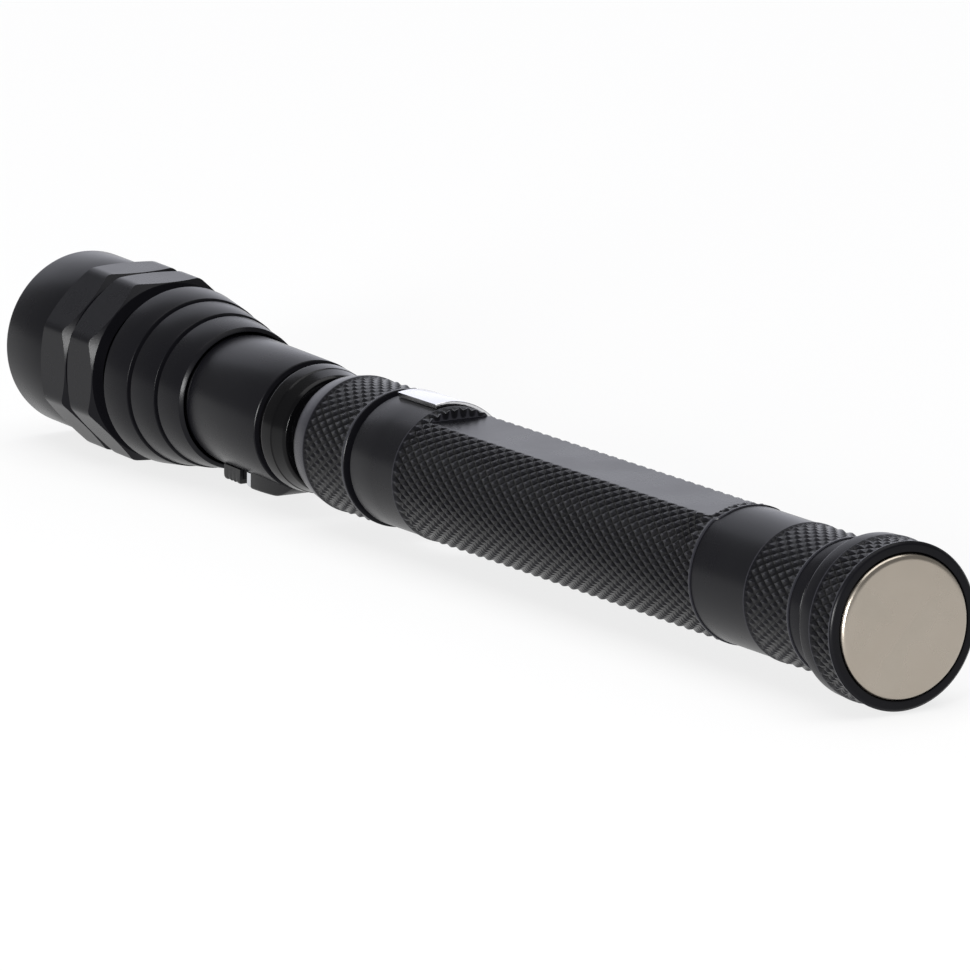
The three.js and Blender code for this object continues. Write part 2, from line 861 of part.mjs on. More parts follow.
// Plano-convex lens: flat towards the light, domed towards the front.
function lens() {
  const rimEnd = lensStart + lensEdge;
  const domeRadius = retainerBore - headGap;
  const points = [[lensStart, 0], [lensStart, lensRadius], [rimEnd, lensRadius]];
  const steps = 6;
  for (let i = 0; i <= steps; i += 1) {
    const share = 1 - i / steps;
    const height = lensDome * (1 - share * share);
    points.push([rimEnd + height, i === steps ? 0 : domeRadius * share]);
  }
  return turned(points);
}

function lensRetainer() {
  return ring(retainerStart, retainerStart + retainerThickness, retainerBore, lensRadius + threadGap);
}

// ---- Assembly -----------------------------------------------------------------------------------

function tailGroup() {
  const group = new THREE.Group();
  group.add(
    named("tail_magnet", tailMagnet(), nickel()),
    named("magnet_back_plate", magnetBackPlate(), brightSteel()),
    named("tail_cap", tailCap(), blackAnodised()),
    named("tail_cap_seal", tailCapSeal(), blackRubber()),
  );
  return group;
}

function handleGroup() {
  const group = new THREE.Group();
  group.add(
    named("handle_tube", handleTube(), blackAnodised()),
    named("rear_plug", rearPlug(), blackPlastic()),
    named("front_collar", frontCollar(), blackAnodised()),
    named("guide_bush", guideBush(), blackPlastic()),
    named("pocket_clip", pocketClip(), brightSteel()),
  );
  return group;
}

function telescopeGroup() {
  const group = new THREE.Group();
  tubeNames.forEach((name, index) => {
    group.add(named(name, telescopingTube(index), brightSteel()));
    group.add(named(`${name}_stop`, tubeStop(index), blackPlastic()));
  });
  group.add(
    named("neck_rear_ferrule", rearFerrule(), brightSteel()),
    named("flexible_neck", flexibleNeck(), blackRubber()),
  );
  return group;
}

// The head is a group of its own, tilted up a little about the exposed stretch of the neck.
function headGroup() {
  const pieces = new THREE.Group();
  pieces.add(
    named("neck_front_ferrule", frontFerrule(), brightSteel()),
    named("neck_plug", neckPlug(), glossBlack()),
    named("battery_tube", batteryTube(), blackAnodised()),
    named("switch_frame", switchFrame(), blackPlastic()),
    named("switch_slider", switchSlider(), blackPlastic()),
    named("switch_contact", switchContact(), brightSteel()),
    named("battery_sleeve", batterySleeve(), whiteNylon()),
    named("rear_contact", rearContact(), brass()),
    named("heat_sink", heatSink(), blackAnodised()),
    named("zoom_seal", zoomSeal(), blackRubber()),
    named("contact_spring", contactSpring(), brass()),
    named("driver_board", driverBoard(), greenBoard()),
    named("led_pill", ledPill(), brass()),
    named("led_board", ledBoard(), whiteBoard()),
    named("led_emitter", ledEmitter(), amberLed()),
    named("zoom_sleeve", zoomSleeve(), blackAnodised()),
    named("lens_seal", lensSeal(), blackRubber()),
    named("lens", lens(), clearAcrylic()),
    named("lens_retainer", lensRetainer(), blackAnodised()),
  );
  for (let index = 0; index < cellCount; index += 1) {
    pieces.add(named(`button_cell_${index + 1}`, buttonCell(index), nickel()));
  }
  pieces.position.x = -neckPivot;
  const head = new THREE.Group();
  head.add(pieces);
  head.position.x = neckPivot;
  head.rotation.y = -THREE.MathUtils.degToRad(headTilt);
  return head;
}

const flashlight = new THREE.Group();
flashlight.add(tailGroup(), handleGroup(), telescopeGroup(), headGroup());

export default flashlight;
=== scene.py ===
import json
import math

import bmesh
import bpy
import numpy as np
from mathutils import Matrix, Vector


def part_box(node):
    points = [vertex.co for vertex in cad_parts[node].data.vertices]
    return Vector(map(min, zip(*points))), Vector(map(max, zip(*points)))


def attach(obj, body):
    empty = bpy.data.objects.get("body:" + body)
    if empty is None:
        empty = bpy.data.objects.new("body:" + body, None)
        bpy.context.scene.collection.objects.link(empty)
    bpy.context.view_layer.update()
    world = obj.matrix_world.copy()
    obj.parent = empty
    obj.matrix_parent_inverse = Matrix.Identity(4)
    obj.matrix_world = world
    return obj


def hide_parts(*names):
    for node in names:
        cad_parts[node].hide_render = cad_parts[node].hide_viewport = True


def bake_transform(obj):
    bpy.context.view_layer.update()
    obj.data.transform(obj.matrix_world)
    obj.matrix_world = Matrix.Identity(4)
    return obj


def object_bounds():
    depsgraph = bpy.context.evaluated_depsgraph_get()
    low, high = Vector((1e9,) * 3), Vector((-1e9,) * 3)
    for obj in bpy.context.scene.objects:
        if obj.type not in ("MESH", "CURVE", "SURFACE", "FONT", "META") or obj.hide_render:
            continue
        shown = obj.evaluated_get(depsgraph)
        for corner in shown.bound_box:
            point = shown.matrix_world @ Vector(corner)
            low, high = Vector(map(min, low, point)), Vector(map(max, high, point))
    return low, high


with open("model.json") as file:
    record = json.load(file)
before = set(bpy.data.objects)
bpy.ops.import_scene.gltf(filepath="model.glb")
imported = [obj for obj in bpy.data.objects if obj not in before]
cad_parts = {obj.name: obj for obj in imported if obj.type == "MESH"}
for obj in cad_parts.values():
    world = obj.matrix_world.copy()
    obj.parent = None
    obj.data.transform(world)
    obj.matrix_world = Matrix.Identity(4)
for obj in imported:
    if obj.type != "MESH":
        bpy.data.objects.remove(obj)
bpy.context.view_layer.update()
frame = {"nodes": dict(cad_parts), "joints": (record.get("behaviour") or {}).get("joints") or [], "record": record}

millimetre = 0.001
joints = {joint["name"]: joint for joint in frame["joints"]}
bodyOf = {node: body for body, nodes in frame["record"]["behaviour"]["bodies"].items() for node in nodes}
neckPivot = joints["neck_bend"]["pos_m"][0] / millimetre
headAxis = joints["focus_slide"]["axis"]
headTilt = math.atan2(headAxis[2], headAxis[0])
tiltedBodies = {"head", "focus_sleeve", "switch_button"}
print("frame loaded:", len(frame["nodes"]), "nodes")


# Shapes. Sizes are in mm, x runs along the axis from the tail magnet, angles start at the top and turn to +y.

def tilted(points, angle):
    # Turn about the neck pivot: x and z mix by the cosine and sine of the angle.
    along, up = points[..., 0] - neckPivot, points[..., 2]
    turnedX = neckPivot + along * math.cos(angle) - up * math.sin(angle)
    turnedZ = along * math.sin(angle) + up * math.cos(angle)
    return np.stack([turnedX, points[..., 1], turnedZ], -1)


def span(node):
    # Start, end and outer radius of a CAD node along its own axis.
    mesh = frame["nodes"][node].data
    points = np.empty(len(mesh.vertices) * 3)
    mesh.vertices.foreach_get("co", points)
    points = points.reshape(-1, 3) / millimetre
    if bodyOf[node] in tiltedBodies:
        points = tilted(points, -headTilt)
    return points[:, 0].min(), points[:, 0].max(), np.hypot(points[:, 1], points[:, 2]).max()


def outline(corners, steps=3):
    # Each corner is x, radius, rounding: a parabola leaves the edge that far before the corner and joins it after.
    corners = np.array([(*corner, 0)[:3] for corner in corners], float)
    corner, rounding = corners[:, :2], corners[:, 2:]
    before, after = np.roll(corner, 1, 0) - corner, np.roll(corner, -1, 0) - corner
    start = corner + before / np.linalg.norm(before, axis=1, keepdims=True) * rounding
    end = corner + after / np.linalg.norm(after, axis=1, keepdims=True) * rounding
    t = np.linspace(0, 1, steps + 1)[None, :, None]
    arcs = (1 - t) ** 2 * start[:, None] + 2 * t * (1 - t) * corner[:, None] + t**2 * end[:, None]
    points = arcs.reshape(-1, 2)
    return points[np.linalg.norm(points - np.roll(points, 1, 0), axis=1) > 1e-6]


def clockwise(profile):
    # The outer side has to run towards +x, so that faces look outwards: the signed area tells.
    x, r = profile[:, 0], profile[:, 1]
    area = np.sum(x * np.roll(r, -1) - np.roll(x, -1) * r)
    return profile[::-1] if area > 0 else profile


def revolved(profile, columns=96):
    # y = r sin(angle), z = r cos(angle) for every profile point and angle.
    profile = clockwise(np.asarray(profile, float))
    angle = np.linspace(0, 2 * math.pi, columns, endpoint=False)
    r = profile[:, 1:2]
    grid = np.stack([np.broadcast_to(profile[:, :1], (len(profile), columns)), r * np.sin(angle), r * np.cos(angle)], -1)
    if profile[:, 1].min() > 0:
        return grid, True, None
    while abs(grid[0, :, 1:]).max() > 1e-9 or abs(grid[-1, :, 1:]).max() > 1e-9:
        grid = np.roll(grid, 1, 0)
    return grid, False, None


def swept(path, side, normal, section):
    # Section point (a, b) goes to path + a side + b normal. Both ends close on their middle.
    a, b = section[:, 0, None], section[:, 1, None]
    rings = path[:, None] + a[None] * side[:, None] + b[None] * normal[:, None]
    middle = rings.mean(1, keepdims=True)
    caps = np.broadcast_to(middle, rings.shape)
    return np.concatenate([caps[:1], rings, caps[-1:]]), False, None


def gridFaces(grid, closedRows, rise, offset):
    # Four corners per cell; with a rise, each cell is cut in two along its lower diagonal, so grooves stay sharp.
    rows, columns = grid.shape[:2]
    i, j = np.meshgrid(np.arange(rows if closedRows else rows - 1), np.arange(columns), indexing="ij")
    nextI, nextJ = (i + 1) % rows, (j + 1) % columns
    cells = np.stack([i * columns + j, nextI * columns + j, nextI * columns + nextJ, i * columns + nextJ], -1)
    cells = cells.reshape(-1, 4) + offset
    if rise is None:
        return cells.tolist()
    height = rise.ravel()[cells - offset]
    cross = height[:, 1] + height[:, 3] < height[:, 0] + height[:, 2] - 1e-6
    plain, turnedCells = cells[~cross], cells[cross]
    triangles = [plain[:, [0, 1, 2]], plain[:, [0, 2, 3]], turnedCells[:, [0, 1, 3]], turnedCells[:, [1, 2, 3]]]
    return np.concatenate(triangles).tolist()


def makePiece(name, nodes, body, material, surfaces, sharp=32):
    # Joins the grids into one mesh, closes poles by merging, and puts it on its body.
    tilt = headTilt if body in tiltedBodies else 0
    vertices, faces, rises = [], [], []
    for grid, closedRows, rise in surfaces:
        faces += gridFaces(grid, closedRows, rise, sum(len(v) for v in vertices))
        vertices.append(tilted(grid, tilt).reshape(-1, 3) * millimetre)
        rises.append(np.ones(grid.shape[:2]).ravel() if rise is None else rise.ravel())
    mesh = bpy.data.meshes.new(name)
    mesh.from_pydata(np.concatenate(vertices), [], faces)
    riseValues = mesh.attributes.new("rise", "FLOAT", "POINT")
    riseValues.data.foreach_set("value", np.concatenate(rises).astype(np.float32))
    work = bmesh.new()
    work.from_mesh(mesh)
    bmesh.ops.remove_doubles(work, verts=work.verts, dist=2e-7)
    work.to_mesh(mesh)
    work.free()
    mesh.validate()
    mesh.polygons.foreach_set("use_smooth", np.ones(len(mesh.polygons), bool))
    mesh.set_sharp_from_angle(angle=math.radians(sharp))
    mesh.materials.append(material)
    piece = bpy.data.objects.new(name, mesh)
    bpy.context.scene.collection.objects.link(piece)
    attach(piece, body)
    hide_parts(*nodes)
    return piece


# Materials

def linearColour(hexColour):
    # sRGB hex to linear: below 0.04045 divide by 12.92, above it a 2.4 power.
    value = np.array([int(hexColour[k:k + 2], 16) for k in (1, 3, 5)]) / 255
    return (*np.where(value <= 0.04045, value / 12.92, ((value + 0.055) / 1.055) ** 2.4), 1)


def addNode(tree, kind, inputs=None, **settings):
    node = tree.nodes.new(kind)
    for key, value in settings.items():
        setattr(node, key, value)
    for key, value in (inputs or {}).items():
        if isinstance(value, bpy.types.NodeSocket):
            tree.links.new(value, node.inputs[key])
        else:
            node.inputs[key].default_value = value
    return node


def startMaterial(name):
    material = bpy.data.materials.new(name)
    material.use_nodes = True
    tree = material.node_tree
    place = addNode(tree, "ShaderNodeTexCoord").outputs["Object"]
    return material, tree, tree.nodes["Principled BSDF"], place


def perMetre(sizeInMm):
    return 1 / (sizeInMm * millimetre)


# Turned aluminium, bead blasted and anodised black: a dark satin skin that greys where light grazes it.
anodised = {
    "colour": "#0c0c0f",
    "clouded": "#101013",
    # A lighter grey: a painted highlight on the knurl's points and plain lips.
    "paintedPointHighlight": "#303035",
    # Near black: a painted shade laid into the knurl's grooves.
    "paintedGrooveShade": "#050505",
    "roughness": (0.26, 0.3),
    "specular": 0.1,
    "blastGrain": 0.16,
    "blastDepth": 0.0035,
    "cloudSize": 7,
}


def anodisedAluminium(name, look, knurled):
    material, tree, shader, place = startMaterial(name)
    cloud = addNode(tree, "ShaderNodeTexNoise", {"Vector": place, "Scale": perMetre(look["cloudSize"]), "Detail": 3})
    tint = addNode(tree, "ShaderNodeMix", {
        "Factor": cloud.outputs["Fac"], "A": linearColour(look["colour"]), "B": linearColour(look["clouded"]),
    }, data_type="RGBA")
    colour = tint.outputs["Result"]
    grain = addNode(tree, "ShaderNodeTexNoise", {"Vector": place, "Scale": perMetre(look["blastGrain"]), "Detail": 2})
    if knurled:
        rise = addNode(tree, "ShaderNodeAttribute", attribute_name="rise").outputs["Fac"]
        # Painted shade: the colour goes near black down in the knurl's grooves, by how low each point lies.
        grooveShadeRamp = addNode(tree, "ShaderNodeMapRange", {"Value": rise, "From Min": 0.0, "From Max": 0.45})
        dark = addNode(tree, "ShaderNodeMix", {
            "Factor": grooveShadeRamp.outputs["Result"], "A": linearColour(look["paintedGrooveShade"]), "B": colour,
        }, data_type="RGBA")
        # Painted highlight: the knurl's points and the plain lips at the band ends are lightened to a grey glint. The
        # milled flat and the plain rows are left out.
        point = addNode(tree, "ShaderNodeMapRange", {"Value": rise, "From Min": 0.8, "From Max": 0.95, "To Max": 0.8})
        smooth = addNode(tree, "ShaderNodeMath", {0: rise, 1: 0.995}, operation="LESS_THAN")
        paintedHighlightMask = addNode(tree, "ShaderNodeMath", {0: point.outputs["Result"], 1: smooth.outputs[0]}, operation="MULTIPLY")
        colour = addNode(tree, "ShaderNodeMix", {
            "Factor": paintedHighlightMask.outputs[0], "A": dark.outputs["Result"], "B": linearColour(look["paintedPointHighlight"]),
        }, data_type="RGBA").outputs["Result"]
    rough = addNode(tree, "ShaderNodeMapRange", {
        "Value": cloud.outputs["Fac"], "From Min": 0.3, "From Max": 0.7,
        "To Min": look["roughness"][0], "To Max": look["roughness"][1],
    })
    bump = addNode(tree, "ShaderNodeBump", {
        "Height": grain.outputs["Fac"], "Distance": look["blastDepth"] * millimetre, "Strength": 1.0,
    })
    tree.links.new(colour, shader.inputs["Base Color"])
    tree.links.new(rough.outputs["Result"], shader.inputs["Roughness"])
    tree.links.new(bump.outputs["Normal"], shader.inputs["Normal"])
    shader.inputs["Specular IOR Level"].default_value = look["specular"]
    return material


# Black lacquer over a turned ring: nearly a mirror, with a little orange peel.
lacquer = {"colour": "#050506", "roughness": (0.14, 0.24), "peelSize": 1.4, "peelDepth": 0.006, "specular": 0.14}


def blackLacquer(name, look):
    material, tree, shader, place = startMaterial(name)
    peel = addNode(tree, "ShaderNodeTexNoise", {"Vector": place, "Scale": perMetre(look["peelSize"]), "Detail": 2})
    rough = addNode(tree, "ShaderNodeMapRange", {
        "Value": peel.outputs["Fac"], "To Min": look["roughness"][0], "To Max": look["roughness"][1],
    })
    bump = addNode(tree, "ShaderNodeBump", {"Height": peel.outputs["Fac"], "Distance": look["peelDepth"] * millimetre})
    shader.inputs["Base Color"].default_value = linearColour(look["colour"])
    shader.inputs["Specular IOR Level"].default_value = look["specular"]
    tree.links.new(rough.outputs["Result"], shader.inputs["Roughness"])
    tree.links.new(bump.outputs["Normal"], shader.inputs["Normal"])
    return material


# Moulded plastics and rubber: a spark-eroded mould leaves a fine matte grain.
abs_ = {"colour": "#0b0b0c", "fleck": "#161618", "roughness": 0.36, "grain": 0.22, "depth": 0.005, "specular": 0.25}
nitrile = {"colour": "#080808", "fleck": "#121212", "roughness": 0.78, "grain": 0.3, "depth": 0.008, "specular": 0.3}
nylon = {"colour": "#d8d8d0", "fleck": "#e6e6e0", "roughness": 0.55, "grain": 0.3, "depth": 0.005, "specular": 0.5}
solderMask = {"colour": "#123f24", "fleck": "#1b5a34", "roughness": 0.35, "grain": 0.5, "depth": 0.004, "specular": 0.5}
whiteMask = {"colour": "#dedfd9", "fleck": "#eeeeea", "roughness": 0.4, "grain": 0.6, "depth": 0.004, "specular": 0.5}


def mouldedPlastic(name, look):
    material, tree, shader, place = startMaterial(name)
    grain = addNode(tree, "ShaderNodeTexNoise", {"Vector": place, "Scale": perMetre(look["grain"]), "Detail": 3})
    tint = addNode(tree, "ShaderNodeMix", {
        "Factor": grain.outputs["Fac"], "A": linearColour(look["colour"]), "B": linearColour(look["fleck"]),
    }, data_type="RGBA")
    rough = addNode(tree, "ShaderNodeMapRange", {
        "Value": grain.outputs["Fac"], "To Min": look["roughness"] - 0.06, "To Max": look["roughness"] + 0.06,
    })
    bump = addNode(tree, "ShaderNodeBump", {"Height": grain.outputs["Fac"], "Distance": look["depth"] * millimetre})
    tree.links.new(tint.outputs["Result"], shader.inputs["Base Color"])
    tree.links.new(rough.outputs["Result"], shader.inputs["Roughness"])
    tree.links.new(bump.outputs["Normal"], shader.inputs["Normal"])
    shader.inputs["Specular IOR Level"].default_value = look["specular"]
    return material


# Bare and plated metals: a mirror-like base with soft clouds, and scratches drawn out along one way.
nickelPlate = {
    "colour": "#a39a8e", "cloudy": "#afa79c", "roughness": (0.2, 0.34), "cloud": 5,
    "scratch": (3, 3, 3), "depth": 0.00015,
}
springSteel = {
    "colour": "#c9c9cc", "cloudy": "#dcdcde", "roughness": (0.16, 0.26), "cloud": 4,
    "scratch": (3.5, 0.06, 0.06), "depth": 0.002,
}
chromedSteel = {
    "colour": "#cfd1d4", "cloudy": "#dadbde", "roughness": (0.05, 0.1), "cloud": 6,
    "scratch": (9, 0.08, 0.08), "depth": 0.0006,
}
blackenedSteel = {
    "colour": "#35353a", "cloudy": "#4a4a50", "roughness": (0.25, 0.4), "cloud": 2,
    "scratch": (0.2, 0.2, 0.2), "depth": 0.003,
}
turnedBrass = {
    "colour": "#b08b45", "cloudy": "#bf9b55", "roughness": (0.22, 0.34), "cloud": 3,
    "scratch": (0.08, 4, 4), "depth": 0.003,
}


def bareMetal(name, look):
    material, tree, shader, place = startMaterial(name)
    cloud = addNode(tree, "ShaderNodeTexNoise", {"Vector": place, "Scale": perMetre(look["cloud"]), "Detail": 4})
    tint = addNode(tree, "ShaderNodeMix", {
        "Factor": cloud.outputs["Fac"], "A": linearColour(look["colour"]), "B": linearColour(look["cloudy"]),
    }, data_type="RGBA")
    drawn = addNode(tree, "ShaderNodeMapping", {
        "Vector": place, "Scale": tuple(perMetre(size) for size in look["scratch"]),
    })
    scratch = addNode(tree, "ShaderNodeTexNoise", {"Vector": drawn.outputs["Vector"], "Scale": 1.0, "Detail": 3})
    mixed = addNode(tree, "ShaderNodeMath", {0: cloud.outputs["Fac"], 1: scratch.outputs["Fac"]}, operation="MULTIPLY")
    rough = addNode(tree, "ShaderNodeMapRange", {
        "Value": mixed.outputs[0], "From Min": 0.12, "From Max": 0.4,
        "To Min": look["roughness"][0], "To Max": look["roughness"][1],
    })
    bump = addNode(tree, "ShaderNodeBump", {"Height": scratch.outputs["Fac"], "Distance": look["depth"] * millimetre})
    tree.links.new(tint.outputs["Result"], shader.inputs["Base Color"])
    tree.links.new(rough.outputs["Result"], shader.inputs["Roughness"])
    tree.links.new(bump.outputs["Normal"], shader.inputs["Normal"])
    shader.inputs["Metallic"].default_value = 1
    return material


# Polished acrylic: clear, with a trace of blue in its thickness and faint wipe marks.
acrylic = {"colour": "#f4fafc", "ior": 1.49, "roughness": (0.0, 0.04), "wipe": 3}


def clearAcrylic(name, look):
    material, tree, shader, place = startMaterial(name)
    wipe = addNode(tree, "ShaderNodeTexNoise", {"Vector": place, "Scale": perMetre(look["wipe"]), "Detail": 3})
    rough = addNode(tree, "ShaderNodeMapRange", {
        "Value": wipe.outputs["Fac"], "From Min": 0.4, "From Max": 0.8,
        "To Min": look["roughness"][0], "To Max": look["roughness"][1],
    })
    tree.links.new(rough.outputs["Result"], shader.inputs["Roughness"])
    shader.inputs["Base Color"].default_value = linearColour(look["colour"])
    shader.inputs["IOR"].default_value = look["ior"]
    shader.inputs["Transmission Weight"].default_value = 1
    return material


# Cerium phosphor under silicone: a matte yellow with pale grains.
phosphor = {"colour": "#d9b62a", "grains": "#f1dc6a", "grain": 0.08, "roughness": 0.5}


def ledPhosphor(name, look):
    material, tree, shader, place = startMaterial(name)
    grain = addNode(tree, "ShaderNodeTexVoronoi", {"Vector": place, "Scale": perMetre(look["grain"])})
    tint = addNode(tree, "ShaderNodeMix", {
        "Factor": grain.outputs["Distance"], "A": linearColour(look["colour"]), "B": linearColour(look["grains"]),
    }, data_type="RGBA")
    bump = addNode(tree, "ShaderNodeBump", {"Height": grain.outputs["Distance"], "Distance": 0.01 * millimetre})
    tree.links.new(tint.outputs["Result"], shader.inputs["Base Color"])
    tree.links.new(bump.outputs["Normal"], shader.inputs["Normal"])
    shader.inputs["Roughness"].default_value = look["roughness"]
    return material


satinBlack = anodisedAluminium("anodised aluminium, turned", anodised, False)
knurledBlack = anodisedAluminium("anodised aluminium, knurled", anodised, True)
glossBlack = blackLacquer("black lacquer", lacquer)
blackPlastic = mouldedPlastic("ABS, spark grain", abs_)
rubber = mouldedPlastic("nitrile rubber", nitrile)
whitePlastic = mouldedPlastic("nylon, natural", nylon)
greenBoard = mouldedPlastic("circuit board, solder mask", solderMask)
whiteBoard = mouldedPlastic("LED board, white mask", whiteMask)
nickel = bareMetal("nickel plate", nickelPlate)
clipSteel = bareMetal("spring steel, polished", springSteel)
chrome = bareMetal("steel tube, chromed", chromedSteel)
coilSteel = bareMetal("spring coil, blackened", blackenedSteel)
brass = bareMetal("brass, turned", turnedBrass)
clear = clearAcrylic("acrylic, polished", acrylic)
yellowPhosphor = ledPhosphor("LED phosphor", phosphor)
print("materials made")


# Diamond knurl: two hands of V grooves, each tilted off the axis by the helix.
knurl = {"pitch": 0.95, "helix": 30, "depth": 0.22, "point": 0.88, "samples": 6, "lip": 0.2, "runIn": 0.2, "lipHighlight": 0.93}


def knurlCount(radius):
    return round(2 * math.pi * radius * math.cos(math.radians(knurl["helix"])) / knurl["pitch"])


def knurlPeriod(radius):
    return 2 * math.pi * radius / knurlCount(radius) / math.tan(math.radians(knurl["helix"]))


def knurlRows(start, end, radius):
    # Rows along a knurled band: a plain lip at both ends, whole samples of the period between.
    step = knurlPeriod(radius) / knurl["samples"]
    inside = np.arange(start + knurl["lip"], end - knurl["lip"], step)
    x = np.concatenate([[start, start + knurl["lip"] * 0.5], inside, [end - knurl["lip"] * 0.5, end]])
    depth = np.clip(np.minimum(x - start, end - x) - knurl["lip"], 0, knurl["runIn"]) / knurl["runIn"]
    return np.stack([x, np.full(len(x), radius), depth], -1)


def knurledGrid(profile, radius, origin):
    # Each groove family is a triangle wave across its helix. The lower of the two gives four-sided points, cut off flat.
    count, period = knurlCount(radius), knurlPeriod(radius)
    columns = count * knurl["samples"]
    angle = np.arange(columns) * 2 * math.pi / columns
    x, r, weight = (profile[:, k, None] for k in range(3))
    around, along = count * angle[None] / (2 * math.pi), (x - origin - knurl["lip"]) / period
    first, second = (1 - np.abs(2 * ((around + sign * along) % 1) - 1) for sign in (1, -1))
    diamond = np.minimum(np.minimum(first, second), knurl["point"]) / knurl["point"]
    rise = 1 - weight * (1 - diamond)
    r = r - knurl["depth"] * (1 - rise)
    # The plain lips at the ends of each band get a rise value that the knurled material turns into a painted highlight
    # line.
    lip = (weight == 0) & (r > radius - 1e-6) & (angle[None] >= 0)
    rise = np.where(lip, knurl["lipHighlight"], rise)
    grid = np.stack([np.broadcast_to(x, r.shape), r * np.sin(angle), r * np.cos(angle)], -1)
    return grid, rise


def plainRows(corners):
    # Rows between knurled bands: a rounded outline with no knurl on it.
    points = outline(corners)
    return np.concatenate([points, np.zeros((len(points), 1))], 1)


# Tail: the magnet stands a little proud of the knurled cap.
tail = {"magnetRounding": 0.7, "capEdge": 0.28, "knurlEnd": 4.1, "rimStep": 0.1}

magnetStart, magnetEnd, magnetRadius = span("tail_magnet")
magnetProfile = outline([
    (magnetStart, 0), (magnetStart, magnetRadius, tail["magnetRounding"]), (magnetEnd, magnetRadius, 0.1), (magnetEnd, 0),
], 6)
makePiece("tailMagnet", ["tail_magnet"], "handle", nickel, [revolved(magnetProfile, 160)])

capStart, capEnd, capRadius = span("tail_cap")
plateStart, plateEnd, plateRadius = span("magnet_back_plate")
sealStart, sealEnd, sealRadius = span("tail_cap_seal")
handleStart, handleFront, gripRadius = span("handle_tube")
capKnurlStart = capStart + tail["capEdge"]
capKnurlEnd = capStart + tail["knurlEnd"]
rim = capRadius - tail["rimStep"]
socketRadius = sealRadius - 0.45
capFront = [
    (capKnurlEnd + 0.05, rim, 0.02), (capEnd - 0.5, rim, 0.2), (capEnd, rim - 0.5, 0.15), (capEnd, socketRadius, 0.05),
    (handleStart - 0.1, socketRadius), (handleStart - 0.1, gripRadius - 1.6), (plateEnd + 0.03, gripRadius - 1.6),
    (plateEnd + 0.03, magnetRadius + 0.1),
]
capRearRows = plainRows([
    (capStart + 0.6, magnetRadius + 0.1), (capStart, magnetRadius + 0.1, 0.12),
    (capStart, capRadius - tail["capEdge"], 0.12), (capKnurlStart - 0.05, capRadius - 0.05, 0.1),
    (capKnurlStart - 0.02, capRadius - 0.04),
])[1:-1]
capProfile = np.concatenate([
    capRearRows, knurlRows(capKnurlStart, capKnurlEnd, capRadius),
    np.concatenate([outline(capFront)[1:], np.zeros((len(outline(capFront)) - 1, 1))], 1),
])
capGrid, capRise = knurledGrid(capProfile, capRadius, capKnurlStart)
makePiece("tailCap", ["tail_cap"], "handle", knurledBlack, [(capGrid, True, capRise)])

sealProfile = outline([
    (sealStart, socketRadius, 0.1), (sealStart, sealRadius, 0.4), (sealEnd, sealRadius, 0.4), (sealEnd, socketRadius, 0.1),
], 5)
makePiece("tailCapSeal", ["tail_cap_seal"], "handle", rubber, [revolved(sealProfile)])
print("tail made")


# Handle tube: knurled bands on a turned tube, with a flat milled along the top of the grip.
handle = {
    "rearRing": 2, "rearKnurl": 8.5, "rearBand": 10.3, "grip": 59.8, "frontBand": 9, "bandRadius": 7.2,
    "spigot": 6.5, "bore": 5.8, "flatLip": 1.6, "flatCorner": 1.4, "cornerReach": 3, "edge": 0.14,
}

ringStart = sealEnd + 0.1
knurlStart = ringStart + handle["rearRing"]
knurlEnd = knurlStart + handle["rearKnurl"]
gripStart = knurlEnd + handle["rearBand"]
gripEnd = gripStart + handle["grip"]
bandEnd = gripEnd + handle["frontBand"]
flatHeight = [m for m in frame["record"]["mounts"] if m["name"] == "handle_flat"][0]["pos_m"][2] / millimetre
flatStart, flatEnd = gripStart + handle["flatLip"], gripEnd - handle["flatLip"]
flatHalf = math.sqrt(gripRadius**2 - flatHeight**2)
band, spigot, bore, edge = (handle[key] for key in ("bandRadius", "spigot", "bore", "edge"))


def straightRows(corners):
    # The same corners without the closing edge: the first and last are only run-outs.
    return plainRows([(corners[0][0] - 1, corners[0][1]), *corners, (corners[-1][0] + 1, corners[-1][1])])[1:-1]


gripRows = knurlRows(gripStart, gripEnd, gripRadius)
endWalls = np.array([flatStart - 0.01, flatStart + 0.01, flatEnd - 0.01, flatEnd + 0.01])
wallRows = np.stack([endWalls, np.full(4, gripRadius), np.ones(4)], -1)
gripRows = np.concatenate([gripRows, wallRows])
gripRows = gripRows[np.argsort(gripRows[:, 0], kind="stable")]
handleProfile = np.concatenate([
    [[handleStart, bore, 0], [handleStart, spigot, 0], [ringStart, spigot, 0]],
    straightRows([(ringStart, band - 0.3), (ringStart, band, edge), (knurlStart - 0.03, band)])[1:],
    knurlRows(knurlStart, knurlEnd, gripRadius),
    [[knurlEnd + 0.02, band, 0], [(knurlEnd + gripStart) / 2, band, 0], [gripStart - 0.02, band, 0]],
    gripRows,
    [[gripEnd + 0.02, band, 0], [(gripEnd + bandEnd) / 2, band, 0]],
    straightRows([(bandEnd - 1, band), (bandEnd, band, edge), (bandEnd, spigot)])[1:],
    [[handleFront, spigot, 0], [handleFront, bore, 0]],
])
handleGrid, handleRise = knurledGrid(handleProfile, gripRadius, gripStart)
x, y, z = (handleGrid[..., k].copy() for k in range(3))
# The flat's rear end has rounded corners: rows near it bend along a quarter circle at both sides.
past = np.clip(np.abs(y) - (flatHalf - handle["flatCorner"]), 0, handle["flatCorner"])
cornerShift = handle["flatCorner"] - np.sqrt(handle["flatCorner"] ** 2 - past**2)
nearRear = np.clip(1 - np.abs(x - flatStart) / handle["cornerReach"], 0, 1) * np.clip(z / flatHeight, 0, 1) ** 2
outside = np.hypot(y, z) > band - knurl["depth"] * 1.1
milled = (x > flatStart) & (x < flatEnd) & (z > flatHeight) & outside
x = np.where(outside, x + cornerShift * nearRear, x)
handleGrid = np.stack([x, y, np.where(milled, flatHeight, z)], -1)
handleRise = np.where(milled, 1, handleRise)
makePiece("handleTube", ["handle_tube"], "handle", knurledBlack, [(handleGrid, True, handleRise)])

